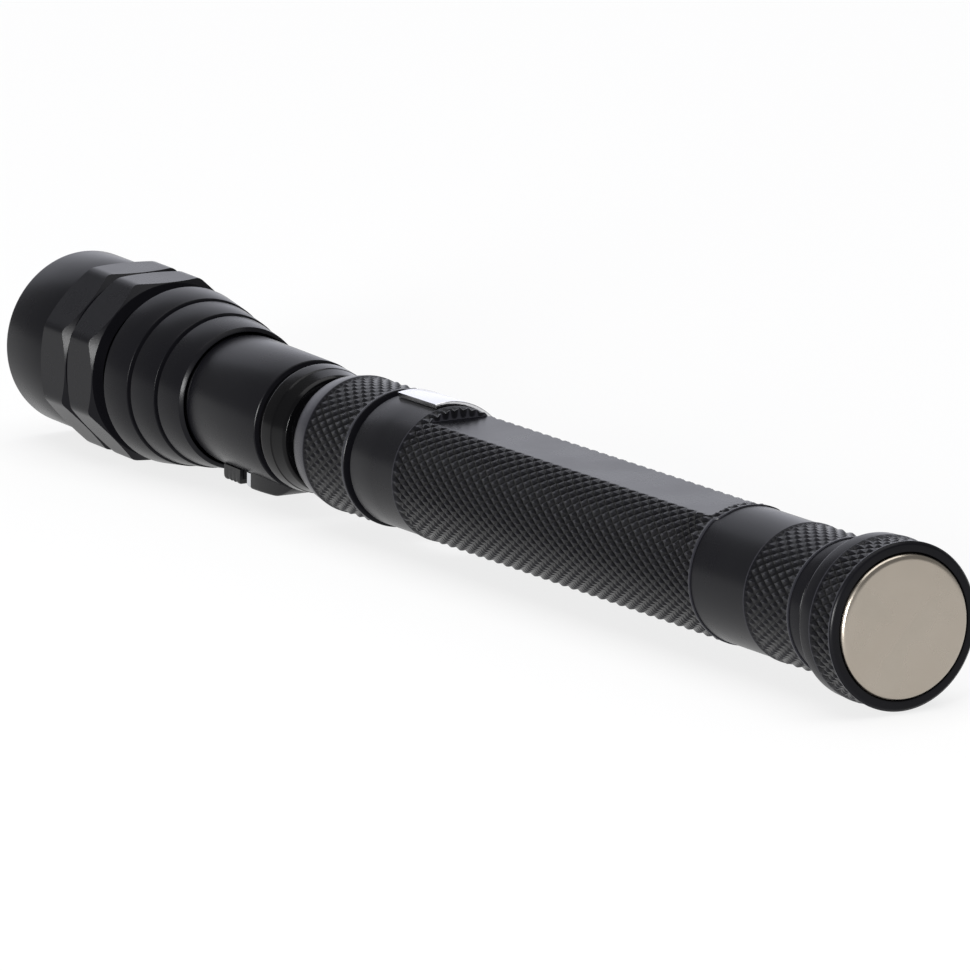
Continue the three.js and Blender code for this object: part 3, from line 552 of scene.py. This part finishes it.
collar = {"knurlLength": 8.7, "noseRadius": 7.0, "edge": 0.16, "noseEdge": 0.25}
collarStart, collarEnd, collarRadius = span("front_collar")
bushStart, bushEnd, bushRadius = span("guide_bush")
tubeStart, tubeEnd, tubeRadius = span("outer_tube")
collarKnurlEnd = collarStart + collar["knurlLength"]
collarProfile = np.concatenate([
    [[collarStart, spigot + 0.1, 0]],
    straightRows([(collarStart, collarRadius - 0.5), (collarStart, collarRadius, collar["edge"])])[1:-1],
    knurlRows(collarStart + 0.2, collarKnurlEnd, collarRadius),
    straightRows([
        (collarKnurlEnd + 0.03, collarRadius), (collarEnd, collar["noseRadius"], collar["noseEdge"]),
        (collarEnd, tubeRadius + 0.3, 0.1),
    ]),
    [[bushEnd + 0.03, tubeRadius + 0.3, 0], [bushEnd + 0.03, spigot + 0.1, 0]],
])
collarGrid, collarRise = knurledGrid(collarProfile, collarRadius, collarStart)
makePiece("frontCollar", ["front_collar"], "handle", knurledBlack, [(collarGrid, True, collarRise)])
print("handle made")


# Pocket clip: a bent strip of spring steel round the front band, with an arm that runs back on one side.
clip = {
    "thickness": 0.5, "width": 8, "start": 12, "wrap": 190, "gap": 0.06, "rounding": 0.12, "fromEnd": 0.5,
    "armWidth": 5.6, "armLength": 41, "clearance": 1.42, "tip": 5, "flare": 1.1,
}


def roundedBar(width, thickness, rounding):
    # A rectangle's outline with rounded corners, about its own middle.
    a, b = width / 2, thickness / 2
    return outline([(-a, -b, rounding), (a, -b, rounding), (a, b, rounding), (-a, b, rounding)], 3)


bandOuter = band + clip["gap"] + clip["thickness"]
clipFront = bandEnd - clip["fromEnd"]
clipRear = clipFront - clip["width"]
clipAngles = np.radians(np.linspace(clip["start"], clip["start"] - clip["wrap"], 120))
middle = bandOuter - clip["thickness"] / 2
out = np.stack([np.zeros(120), np.sin(clipAngles), np.cos(clipAngles)], -1)
bandPath = out * middle + [(clipFront + clipRear) / 2, 0, 0]
barSide = np.tile([1.0, 0, 0], (120, 1))
clipBand = swept(bandPath, barSide, out, roundedBar(clip["width"], clip["thickness"], clip["rounding"])[::-1])
# The arm's height over the side: up out of the band, level, down to the foot, then flared.
reach = gripRadius + clip["clearance"] + clip["thickness"] / 2
foot = gripRadius + 0.21 + clip["thickness"] / 2
knots = np.array([
    (clipRear + 1.8, middle), (clipRear + 0.2, middle + 0.1), (clipRear - 2.2, reach - 0.1), (clipRear - 4.5, reach),
    (clipRear - clip["armLength"] + clip["tip"] + 4.5, reach - 0.2), (clipRear - clip["armLength"] + clip["tip"] + 2, reach - 0.5),
    (clipRear - clip["armLength"] + clip["tip"], foot), (clipRear - clip["armLength"] + clip["tip"] - 1.5, foot + 0.12),
    (clipRear - clip["armLength"], foot + clip["flare"]),
])[::-1]
armX = np.linspace(knots[0, 0], knots[-1, 0], 160)
armHeight = np.interp(armX, knots[:, 0], knots[:, 1])
for _ in range(6):  # a running average rounds the bends
    armHeight[1:-1] = (armHeight[:-2] + 2 * armHeight[1:-1] + armHeight[2:]) / 4
armPath = np.stack([armX, -armHeight, np.zeros(160)], -1)
run = np.gradient(armPath, axis=0)
run /= np.linalg.norm(run, axis=1, keepdims=True)
armSide = np.tile([0, 0, 1.0], (160, 1))
clipArm = swept(armPath, armSide, np.cross(armSide, run), roundedBar(clip["armWidth"], clip["thickness"], clip["rounding"]))
makePiece("pocketClip", ["pocket_clip"], "handle", clipSteel, [clipBand, clipArm])
print("clip made")


# Telescoping tubes: chromed, each with a rolled mouth.
tubes = {"wall": 0.35, "mouthLip": 4, "rounding": 0.14, "columns": 96}
for name in ("outer_tube", "second_tube", "third_tube", "inner_tube"):
    start, end, radius = span(name)
    bodyBore = radius - tubes["wall"]
    lip = bodyBore if name == "inner_tube" else bodyBore - 0.37
    profile = outline([
        (start, bodyBore), (start, radius, 0.1), (end, radius, tubes["rounding"]), (end, lip, tubes["rounding"]),
        (end - tubes["mouthLip"], lip), (end - tubes["mouthLip"] - 0.4, bodyBore + 0.001),
    ])
    words = name.split("_")
    makePiece(words[0] + words[1].title(), [name], name, chrome, [revolved(profile, tubes["columns"])])

# Flexible neck: a close-wound coil. The wire's half round rises over the core along a helix.
coil = {"wirePitch": 0.9, "wireDepth": 0.32, "samples": 8, "columns": 40}
neckStart, neckEnd, neckRadius = span("flexible_neck")
ferruleStart, ferruleEnd, ferruleRadius = span("neck_front_ferrule")
coilRows = int((ferruleStart - neckStart) / coil["wirePitch"] * coil["samples"])
x = np.linspace(neckStart, ferruleStart, coilRows)[:, None]
angle = np.linspace(0, 2 * math.pi, coil["columns"], endpoint=False)[None]
turn = x / coil["wirePitch"] - angle / (2 * math.pi)
fade = np.clip(np.minimum(x - neckStart, ferruleStart - x) / 0.5, 0, 1)
r = neckRadius - coil["wireDepth"] * (1 - np.abs(np.sin(math.pi * turn)) ** 0.6 * fade)
coilGrid = np.stack([np.broadcast_to(x, r.shape), r * np.sin(angle), r * np.cos(angle)], -1)
ends = coilGrid[[0, -1]] * [1, 0, 0]
flexNeck = makePiece(
    "flexibleNeck", ["flexible_neck"], "neck", coilSteel,
    [(np.concatenate([ends[:1], coilGrid, ends[1:]]), False, None)],
)
print("telescope and neck made")


# Neck plug: stepped black rings behind the battery tube.
plug = {
    "nose": 6.3, "taperStart": 6.5, "step": 6.8, "rim": 7.05, "groove": 6.6, "noseLength": 0.4, "taperLength": 2.2,
    "rimEnd": 4.2, "edge": 0.1,
}
plugStart, plugEnd, plugRadius = span("neck_plug")
batteryStart, batteryEnd, batteryRadius = span("battery_tube")
rimEnd = plugStart + plug["rimEnd"]
plugProfile = outline([
    (plugStart, ferruleRadius + 0.12), (plugStart, plug["nose"], plug["edge"]),
    (plugStart + plug["noseLength"], plug["taperStart"], 0.12),
    (plugStart + plug["taperLength"], plug["step"], 0.1), (plugStart + plug["taperLength"] + 0.12, plug["step"] + 0.09, 0.05),
    (rimEnd - 0.25, plug["rim"], 0.08), (rimEnd, plug["rim"] - 0.06, 0.06), (rimEnd + 0.05, plug["groove"], 0.05),
    (batteryStart + 0.4, plug["groove"]), (batteryStart + 0.4, 5.6), (plugEnd, 5.6), (plugEnd, 0),
    (ferruleEnd + 0.3, 0), (ferruleEnd + 0.3, ferruleRadius + 0.12),
], 4)
makePiece("neckPlug", ["neck_plug"], "head", glossBlack, [revolved(plugProfile, 144)])

# Battery tube: satin, with a rounded rear edge and a thread that the heat sink screws over.
battery = {"rearEdge": 0.22, "frontEdge": 0.2, "bore": 6.3, "thread": 6.9, "threadPitch": 0.75, "threadDepth": 0.22}
tubeFront = batteryEnd - 4
threadX = np.linspace(tubeFront + 0.25, batteryEnd - 0.3, 64)
threadR = battery["thread"] - battery["threadDepth"] * (0.5 - 0.5 * np.cos(2 * math.pi * threadX / battery["threadPitch"]))
batteryProfile = np.concatenate([
    [[batteryStart, battery["bore"]]],
    straightRows([
        (batteryStart, batteryRadius - 0.5), (batteryStart, batteryRadius, battery["rearEdge"]),
        (tubeFront, batteryRadius, battery["frontEdge"]), (tubeFront, battery["thread"] - 0.1),
    ])[1:-1, :2],
    np.stack([threadX, threadR], -1), [[batteryEnd, battery["bore"]]],
])
makePiece("batteryTube", ["battery_tube"], "head", satinBlack, [revolved(batteryProfile, 144)])
print("battery tube made")


# Slide switch under the battery tube: a frame with a narrow bed, a slider and a contact that sit on it as saddles.
switch = {
    "bed": 7.25, "bedHalf": 3.2, "root": 5.0, "tailHalf": 2.6, "tailCurve": 6.2, "tailRise": 2.4, "tailDepth": 6.9,
    "skirtTop": 6.35, "edge": 0.28, "ribPitch": 0.8, "ribDepth": 0.2, "ribs": 3,
}
frameStart, frameEnd, frameReach = span("switch_frame")
sliderStart, sliderEnd, sliderReach = span("switch_slider")
contactStart, contactEnd, contactReach = span("switch_contact")
lowest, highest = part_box("switch_slider")
halfWidth = (highest[1] - lowest[1]) / 2 / millimetre
lowest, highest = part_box("switch_contact")
contactHalf = (highest[1] - lowest[1]) / 2 / millimetre
bottom = math.sqrt(sliderReach**2 - halfWidth**2)


def barGrid(x, half, depth, top, edge):
    # Sections across x: down each side wall, round a quarter of an ellipse at the lower edge, along the underside.
    t = np.linspace(0, math.pi / 2, 5)
    side = half[:, None] - edge[:, None] * (1 - np.cos(t))[None]
    down = depth[:, None] - edge[:, None] * (1 - np.sin(t))[None]
    inward = side[:, -1:] * np.array([0.66, 0.33])[None]
    y = np.concatenate([half[:, None], side, inward], 1)
    z = np.concatenate([top[:, None], down, np.repeat(depth[:, None], 2, 1)], 1)
    y = np.concatenate([y, np.zeros((len(x), 1)), -y[:, ::-1], np.zeros((len(x), 1))], 1)
    z = np.concatenate([z, depth[:, None], z[:, ::-1], top[:, None]], 1)
    rings = np.stack([np.broadcast_to(x[:, None], y.shape), y, -z], -1)
    middles = rings.mean(1, keepdims=True)
    first, last = (np.broadcast_to(middle, rings[:1].shape) for middle in (middles[:1], middles[-1:]))
    return np.concatenate([first, rings, last]), False, None


def saddleGrid(x, half, depth, edge, inside, seat):
    # Sections across x of a slab with two skirts: outside as a bar's, inside straight down the bed's walls.
    t = np.linspace(0, math.pi / 2, 5)
    side = half - edge * (1 - np.cos(t))
    down = depth[:, None] - edge * (1 - np.sin(t))[None]
    y = np.concatenate([[half], side, [side[-1] / 2, 0]])
    z = np.concatenate([np.full((len(x), 1), switch["skirtTop"]), down, np.repeat(depth[:, None], 2, 1)], 1)
    y = np.concatenate([y, -y[-2::-1], [-inside, -inside, 0, inside, inside]])
    inner = [switch["skirtTop"], seat, seat, seat, switch["skirtTop"]]
    z = np.concatenate([z, z[:, -2::-1], np.broadcast_to(inner, (len(x), 5))], 1)
    return np.stack([np.broadcast_to(x[:, None], z.shape), np.broadcast_to(y, z.shape), -z], -1)


def closedSaddle(grid):
    # The end faces: the outer half of the section is drawn in to meet the inner half.
    def cap(ring):
        last = len(ring) - 1
        middle = (ring + ring[(last - 5 - np.arange(len(ring))) % len(ring)]) / 2
        return middle
    return np.concatenate([cap(grid[0])[None], grid, cap(grid[-1])[None]]), False, None


notch = contactStart - 0.15
bodyX = np.concatenate([
    np.linspace(frameStart, frameStart + switch["tailRise"], 12)[:-1],
    np.linspace(frameStart + switch["tailRise"], notch - 0.02, 14), np.linspace(notch + 0.02, frameEnd, 12),
])
share = np.clip((bodyX - frameStart) / switch["tailCurve"], 0, 1)
bodyHalf = switch["tailHalf"] + (halfWidth - switch["tailHalf"]) * (1 - (1 - share) ** 2)
bodyHalf = np.where(bodyX > notch, switch["bedHalf"], bodyHalf)
rise = np.clip((bodyX - frameStart) / switch["tailRise"], 0, 1)
bodyDepth = switch["tailDepth"] + (bottom - switch["tailDepth"]) * np.sin(rise * math.pi / 2) ** 0.8
bodyDepth = np.where(bodyX > notch, switch["bed"], bodyDepth)
bodyEdge = np.where(bodyX > notch, 0.05, switch["edge"])
frameSurface = barGrid(bodyX, bodyHalf, bodyDepth, np.full(len(bodyX), switch["root"]), bodyEdge)
# Beside the bed the frame is full width, but only down to where the skirts begin.
shelfX = np.array([notch, notch + 0.01, frameEnd])
shelf = barGrid(
    shelfX, np.full(3, halfWidth), np.full(3, switch["skirtTop"] - 0.15), np.full(3, switch["root"]), np.full(3, 0.05),
)
makePiece("switchFrame", ["switch_frame"], "head", blackPlastic, [frameSurface, shelf])

sliderX = np.linspace(sliderStart, sliderEnd, 90)
ends = np.clip(np.minimum(sliderX - sliderStart, sliderEnd - sliderX) / switch["edge"], 0, 1)
ribStart = (sliderStart + sliderEnd - switch["ribs"] * switch["ribPitch"]) / 2
inRibs = np.abs(sliderX - (sliderStart + sliderEnd) / 2) < switch["ribs"] * switch["ribPitch"] / 2
ribs = np.where(inRibs, 0.5 - 0.5 * np.cos(2 * math.pi * (sliderX - ribStart) / switch["ribPitch"]), 0)
sliderDepth = bottom - switch["edge"] * (1 - np.sqrt(1 - (1 - ends) ** 2)) - ribs * switch["ribDepth"]
inside, seat = switch["bedHalf"] + 0.15, switch["bed"] + 0.15
sliderGrid = saddleGrid(sliderX, halfWidth, sliderDepth, switch["edge"], inside, seat)
makePiece("switchSlider", ["switch_slider"], "switch_button", blackPlastic, [closedSaddle(sliderGrid)])

contactX = np.linspace(contactStart, contactEnd, 12)
crown = 0.12 * np.abs(np.linspace(-1, 1, 12)) ** 3
contactGrid = saddleGrid(contactX, contactHalf, bottom - 0.1 - crown, 0.15, inside, seat)
makePiece("switchContact", ["switch_contact"], "head", chrome, [closedSaddle(contactGrid)])
print("switch made")


# Heat sink: three tapered fins, each ending in a groove, with a bright chamfer at the rear.
sink = {
    "rearRadius": 7.85, "taper": 0.55, "stepUp": 0.2, "pitch": 4.65, "groove": 0.5, "depth": 0.45, "chamfer": 0.34,
    "edge": 0.1, "barrel": 8.15, "bore": 7,
}
sinkStart, sinkEnd, sinkRadius = span("heat_sink")
corners = [(sinkStart, 7.0), (sinkStart, sink["rearRadius"] - sink["chamfer"], 0.05)]
for fin in range(3):
    start = sinkStart + fin * sink["pitch"]
    end = start + sink["pitch"] - sink["groove"]
    rear = sink["rearRadius"] + fin * (sink["taper"] + sink["stepUp"])
    front = rear + sink["taper"]
    if fin == 0:
        corners.append((start + sink["chamfer"], rear + 0.04, 0.05))
    else:
        corners.append((start, rear, sink["edge"]))
    corners.append((end, front, sink["edge"]))
    if fin < 2:
        corners += [(end, front - sink["depth"], 0.06), (end + sink["groove"], front - sink["depth"], 0.06)]
corners += [
    (end, sink["barrel"], 0.1), (sinkEnd - 1.95, sink["barrel"]), (sinkEnd - 1.95, sink["barrel"] - 0.6),
    (sinkEnd - 1.1, sink["barrel"] - 0.6), (sinkEnd - 1.1, sink["barrel"]), (sinkEnd, sink["barrel"], 0.2),
    (sinkEnd, sink["bore"], 0.2), (batteryEnd + 0.3, sink["bore"]), (batteryEnd + 0.3, 7.0),
]
makePiece("heatSink", ["heat_sink"], "head", satinBlack, [revolved(outline(corners), 160)])
print("heat sink made")


# Focusing sleeve: two eight-sided rings whose corners are turned off by 45 degree cones, then a round bezel.
sleeve = {
    "flat": 9.9, "ring": 5.6, "groove": 0.4, "core": 9.3, "envelope": 10.92, "chamfer": 1.1, "cornerEase": 0.07,
    "bezel": 9.8, "bezelEdge": 0.45, "columnsPerFlat": 24,
}
sleeveStart, sleeveEnd, sleeveRadius = span("zoom_sleeve")
lensStart, lensEnd, lensRadius = span("lens")
retainerStart, retainerEnd, retainerRadius = span("lens_retainer")
columns = 8 * sleeve["columnsPerFlat"]
angle = np.linspace(0, 2 * math.pi, columns, endpoint=False)
fromFlat = np.abs((angle + math.pi / 8) % (math.pi / 4) - math.pi / 8)
octagon = sleeve["flat"] / np.cos(fromFlat)
limit = octagon.max() - sleeve["cornerEase"]
octagon = np.where(octagon > limit - 0.1, limit - 0.1 * np.exp((limit - 0.1 - octagon) / 0.1), octagon)


def octagonRows(start, end):
    # From the face the radius climbs one for one with x until it meets the octagon, so each crease is exact.
    face = sleeve["envelope"] - sleeve["chamfer"]
    climb = np.clip(octagon - face, 0.02, None)
    shares = np.array([0, 0.35, 0.7, 0.985, 1])
    radius = face + shares[:, None] * (octagon - face)
    ramp = shares[:, None] * climb
    inside = np.linspace(0, 1, 8)[1:-1, None]
    flatX = (start + climb) * (1 - inside) + (end - climb) * inside
    rowsX = np.concatenate([start + ramp, flatX, end - ramp[::-1]])
    rowsR = np.concatenate([radius, np.broadcast_to(octagon, (6, columns)), radius[::-1]])
    return rowsX, rowsR


firstEnd = sleeveStart + sleeve["ring"]
secondStart = firstEnd + sleeve["groove"]
secondEnd = secondStart + sleeve["ring"]
rowsX, rowsR = [], []
for start, end in ((sleeveStart, firstEnd), (secondStart, secondEnd)):
    ringX, ringR = octagonRows(start, end)
    rowsX += [np.full((1, columns), start), ringX, np.full((1, columns), end)]
    rowsR += [np.full((1, columns), sleeve["core"]), ringR, np.full((1, columns), sleeve["core"])]
lensBore, seatBore, slideBore = lensRadius + 0.2, lensRadius - 1, sink["barrel"] + 0.16
bezelProfile = straightRows([
    (secondEnd + 0.01, sleeve["bezel"] - 0.3), (secondEnd + 0.02, sleeve["bezel"], 0.02),
    (sleeveEnd, sleeve["bezel"], sleeve["bezelEdge"]), (sleeveEnd, lensBore + 0.1, 0.12),
])[:, :2]
innerProfile = np.array([
    (sleeveEnd - 1, lensBore), (lensStart - 0.95, lensBore), (lensStart - 0.95, seatBore), (lensStart - 1.95, seatBore),
    (lensStart - 1.95, slideBore), (sleeveStart + 0.15, slideBore), (sleeveStart, slideBore + 0.15),
])
roundRows = np.concatenate([bezelProfile, innerProfile])
rowsX.append(np.broadcast_to(roundRows[:, :1], (len(roundRows), columns)))
rowsR.append(np.broadcast_to(roundRows[:, 1:], (len(roundRows), columns)))
x, r = np.concatenate(rowsX), np.concatenate(rowsR)
sleeveGrid = np.stack([x, r * np.sin(angle), r * np.cos(angle)], -1)
makePiece(
    "zoomSleeve", ["zoom_sleeve"], "focus_sleeve", satinBlack, [(sleeveGrid, True, None)], 20,
)

# Lens: flat behind, and in front a dome whose height falls with the square of the radius.
lensShape = {"edge": 1.6, "domeRadius": 7.4, "rings": 24}
t = np.linspace(1, 0, lensShape["rings"])
rimFront = lensStart + lensShape["edge"]
domeX = rimFront + (lensEnd - rimFront) * (1 - t**2)
lensProfile = np.concatenate([
    [(lensStart, 0), (lensStart, lensRadius - 0.1), (lensStart + 0.1, lensRadius), (rimFront - 0.1, lensRadius)],
    [(rimFront, lensRadius - 0.1)], np.stack([domeX, lensShape["domeRadius"] * t], -1),
])
makePiece("lens", ["lens"], "focus_sleeve", clear, [revolved(lensProfile, 128)])

# Retainer: a thin ring with two slots for a pin spanner, cut as dips in its front face.
retainer = {"bore": 7.7, "slotHalfAngle": 7, "slotDepth": 0.5}
profile = outline([
    (retainerStart, retainer["bore"], 0.1), (retainerEnd, retainer["bore"], 0.15),
    (retainerEnd, retainerRadius, 0.1), (retainerStart, retainerRadius, 0.1),
])
ringGrid, closed, _ = revolved(profile, 180)
angleOff = np.abs((np.degrees(np.arctan2(ringGrid[..., 1], ringGrid[..., 2])) + 90) % 180 - 90)
dip = np.clip((retainer["slotHalfAngle"] - angleOff) / 2, 0, 1) * retainer["slotDepth"]
frontSide = ringGrid[..., 0] > (retainerStart + retainerEnd) / 2
ringGrid[..., 0] -= np.where(frontSide, dip, 0)
makePiece("lensRetainer", ["lens_retainer"], "focus_sleeve", satinBlack, [(ringGrid, True, None)])


def roundRing(start, end, innerRadius, columns=96):
    # A circle of half the width, carried round the axis.
    half = (end - start) / 2
    turnAngle = np.linspace(0, 2 * math.pi, 20, endpoint=False)
    return revolved(np.stack([start + half + half * np.cos(turnAngle), innerRadius + half + half * np.sin(turnAngle)], -1), columns)


for name, pieceName, body in (("lens_seal", "lensSeal", "focus_sleeve"), ("zoom_seal", "zoomSeal", "head")):
    start, end, radius = span(name)
    makePiece(pieceName, [name], body, rubber, [roundRing(start, end, radius - (end - start))])
print("focusing sleeve made")


# LED: a square ceramic base with a phosphor pad and a clear dome.
led = {"base": 0.7, "half": 1.75, "pad": 1.05, "dome": 1.2}
ledStart, ledEnd, ledReach = span("led_emitter")
baseSection = roundedBar(2 * led["half"], 2 * led["half"], 0.15)
basePath = np.array([(ledStart, 0, 0), (ledStart + 0.05, 0, 0), (ledStart + led["base"], 0, 0)])
baseSide, baseUp = np.tile([0, 1.0, 0], (3, 1)), np.tile([0, 0, 1.0], (3, 1))
makePiece(
    "ledBase", ["led_emitter"], "head", whiteBoard, [swept(basePath, baseSide, baseUp, baseSection)],
)
padProfile = [(ledStart + led["base"] - 0.05, 0), (ledStart + led["base"] - 0.05, led["pad"]),
              (ledStart + led["base"] + 0.06, led["pad"] - 0.05), (ledStart + led["base"] + 0.08, 0)]
makePiece("ledPhosphor", ["led_emitter"], "head", yellowPhosphor, [revolved(np.array(padProfile), 48)])
t = np.linspace(0, math.pi / 2, 14)
domeStart = ledStart + led["base"] + 0.1
domeProfile = np.concatenate([[(domeStart, 0)], np.stack([
    domeStart + (ledEnd - domeStart) * np.sin(t), led["dome"] * np.cos(t)], -1)])
domeProfile[-1, 1] = 0
makePiece("ledDome", ["led_emitter"], "head", clear, [revolved(domeProfile, 48)])
print("light engine made")


# The remaining nodes are the right shape and only take their finish.
finishes = {
    "magnet_back_plate": chrome, "rear_plug": blackPlastic, "guide_bush": blackPlastic,
    "outer_tube_stop": blackPlastic, "second_tube_stop": blackPlastic, "third_tube_stop": blackPlastic,
    "inner_tube_stop": blackPlastic, "neck_rear_ferrule": chrome, "neck_front_ferrule": chrome,
    "battery_sleeve": whitePlastic, "rear_contact": brass, "contact_spring": brass, "driver_board": greenBoard,
    "led_pill": brass, "led_board": whiteBoard, "button_cell_1": nickel, "button_cell_2": nickel,
    "button_cell_3": nickel, "button_cell_4": nickel,
}
for node, material in finishes.items():
    mesh = frame["nodes"][node].data
    mesh.materials.clear()
    mesh.materials.append(material)

# The coil is taken off its body and its placement baked into its mesh, after its mesh is final.
flexNeck.parent = None
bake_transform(flexNeck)
print("finishes set")


# Studio: a pale floor that glows a little, a dim sky, broad lights above and behind, a slim one beside the camera.
studio = {
    "floorColour": "#7a7a7a", "floorGlow": 0.77, "skyColour": "#ffffff", "skyStrength": 0.3,
    "floorRadius": 6, "floorRim": 0.2,
    "topRadiance": 2.2, "topSize": 2.6, "topHeight": 2.4,
    "backRadiance": 1.15, "backSize": (5.0, 3.4), "backDistance": 3.2, "backHeight": 1.75, "backColour": "#f0f2ff",
    "stripRadiance": 75.0, "stripSize": (0.2, 0.3), "stripPlace": (-0.55, 0.86, 0.16),
}
lowestPoint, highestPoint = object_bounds()
floorMesh = bpy.data.meshes.new("floor")
# A disc with a low raised rim, so that a low view doesn't look past its far edge.
angle = np.linspace(0, 2 * math.pi, 64, endpoint=False)
disc = np.stack([np.cos(angle), np.sin(angle), 0 * angle], -1) * studio["floorRadius"]
rimFaces = [(k, k + 64, (k + 1) % 64 + 64, (k + 1) % 64) for k in range(64)]
floorMesh.from_pydata(
    np.concatenate([disc, disc * 1.02 + [0, 0, studio["floorRim"]]]), [], [tuple(range(64)), *rimFaces],
)
floor = bpy.data.objects.new("floor", floorMesh)
floor.location.z = lowestPoint[2] - 0.00002
bpy.context.scene.collection.objects.link(floor)
floorPaint, tree, shader, place = startMaterial("light table")
shader.inputs["Base Color"].default_value = linearColour(studio["floorColour"])
shader.inputs["Roughness"].default_value = 0.9
shader.inputs["Specular IOR Level"].default_value = 0
shader.inputs["Emission Color"].default_value = (1, 1, 1, 1)
shader.inputs["Emission Strength"].default_value = studio["floorGlow"]
floorMesh.materials.append(floorPaint)

world = bpy.data.worlds.new("sky")
bpy.context.scene.world = world
world.use_nodes = True
world.node_tree.nodes["Background"].inputs["Color"].default_value = linearColour(studio["skyColour"])
world.node_tree.nodes["Background"].inputs["Strength"].default_value = studio["skyStrength"]


def areaLight(name, place, target, size, radiance, colour="#ffffff"):
    # A flat light's power is its radiance times its area times pi.
    light = bpy.data.lights.new(name, "AREA")
    light.shape = "RECTANGLE"
    light.size, light.size_y = size
    light.energy = radiance * size[0] * size[1] * math.pi
    light.color = linearColour(colour)[:3]
    lamp = bpy.data.objects.new(name, light)
    lamp.location = place
    lamp.rotation_mode = "QUATERNION"
    lamp.rotation_quaternion = (Vector(target) - Vector(place)).to_track_quat("-Z", "Y")
    lamp.visible_camera = False
    bpy.context.scene.collection.objects.link(lamp)


# Camera: far off behind the tail and to one side, a little above.
camera = {"lens": 470.86, "sensor": 36, "place": (-1.0444, 0.6716, 0.2694), "azimuth": 239.2, "elevation": 11.607}
lensData = bpy.data.cameras.new("camera")
lensData.lens, lensData.sensor_width = camera["lens"], camera["sensor"]
lensData.clip_start, lensData.clip_end = 0.05, 100
view = bpy.data.objects.new("camera", lensData)
azimuth, elevation = math.radians(camera["azimuth"]), math.radians(camera["elevation"])
forward = Vector((-math.sin(azimuth) * math.cos(elevation), math.cos(azimuth) * math.cos(elevation), -math.sin(elevation)))
view.location = camera["place"]
view.rotation_mode = "QUATERNION"
view.rotation_quaternion = forward.to_track_quat("-Z", "Y")
bpy.context.scene.collection.objects.link(view)
bpy.context.scene.camera = view
bpy.context.scene.view_settings.view_transform = "Standard"

centre = (lowestPoint + highestPoint) / 2
away = Vector((forward[0], forward[1], 0)).normalized()
areaLight(
    "topLight", centre + Vector((0, 0, studio["topHeight"])), centre, (studio["topSize"],) * 2, studio["topRadiance"],
)
areaLight(
    "backLight", centre + away * studio["backDistance"] + Vector((0, 0, studio["backHeight"])),
    centre + Vector((0, 0, studio["backHeight"])), studio["backSize"], studio["backRadiance"], studio["backColour"],
)
areaLight("stripLight", centre + Vector(studio["stripPlace"]), centre, studio["stripSize"], studio["stripRadiance"])
print("studio made")
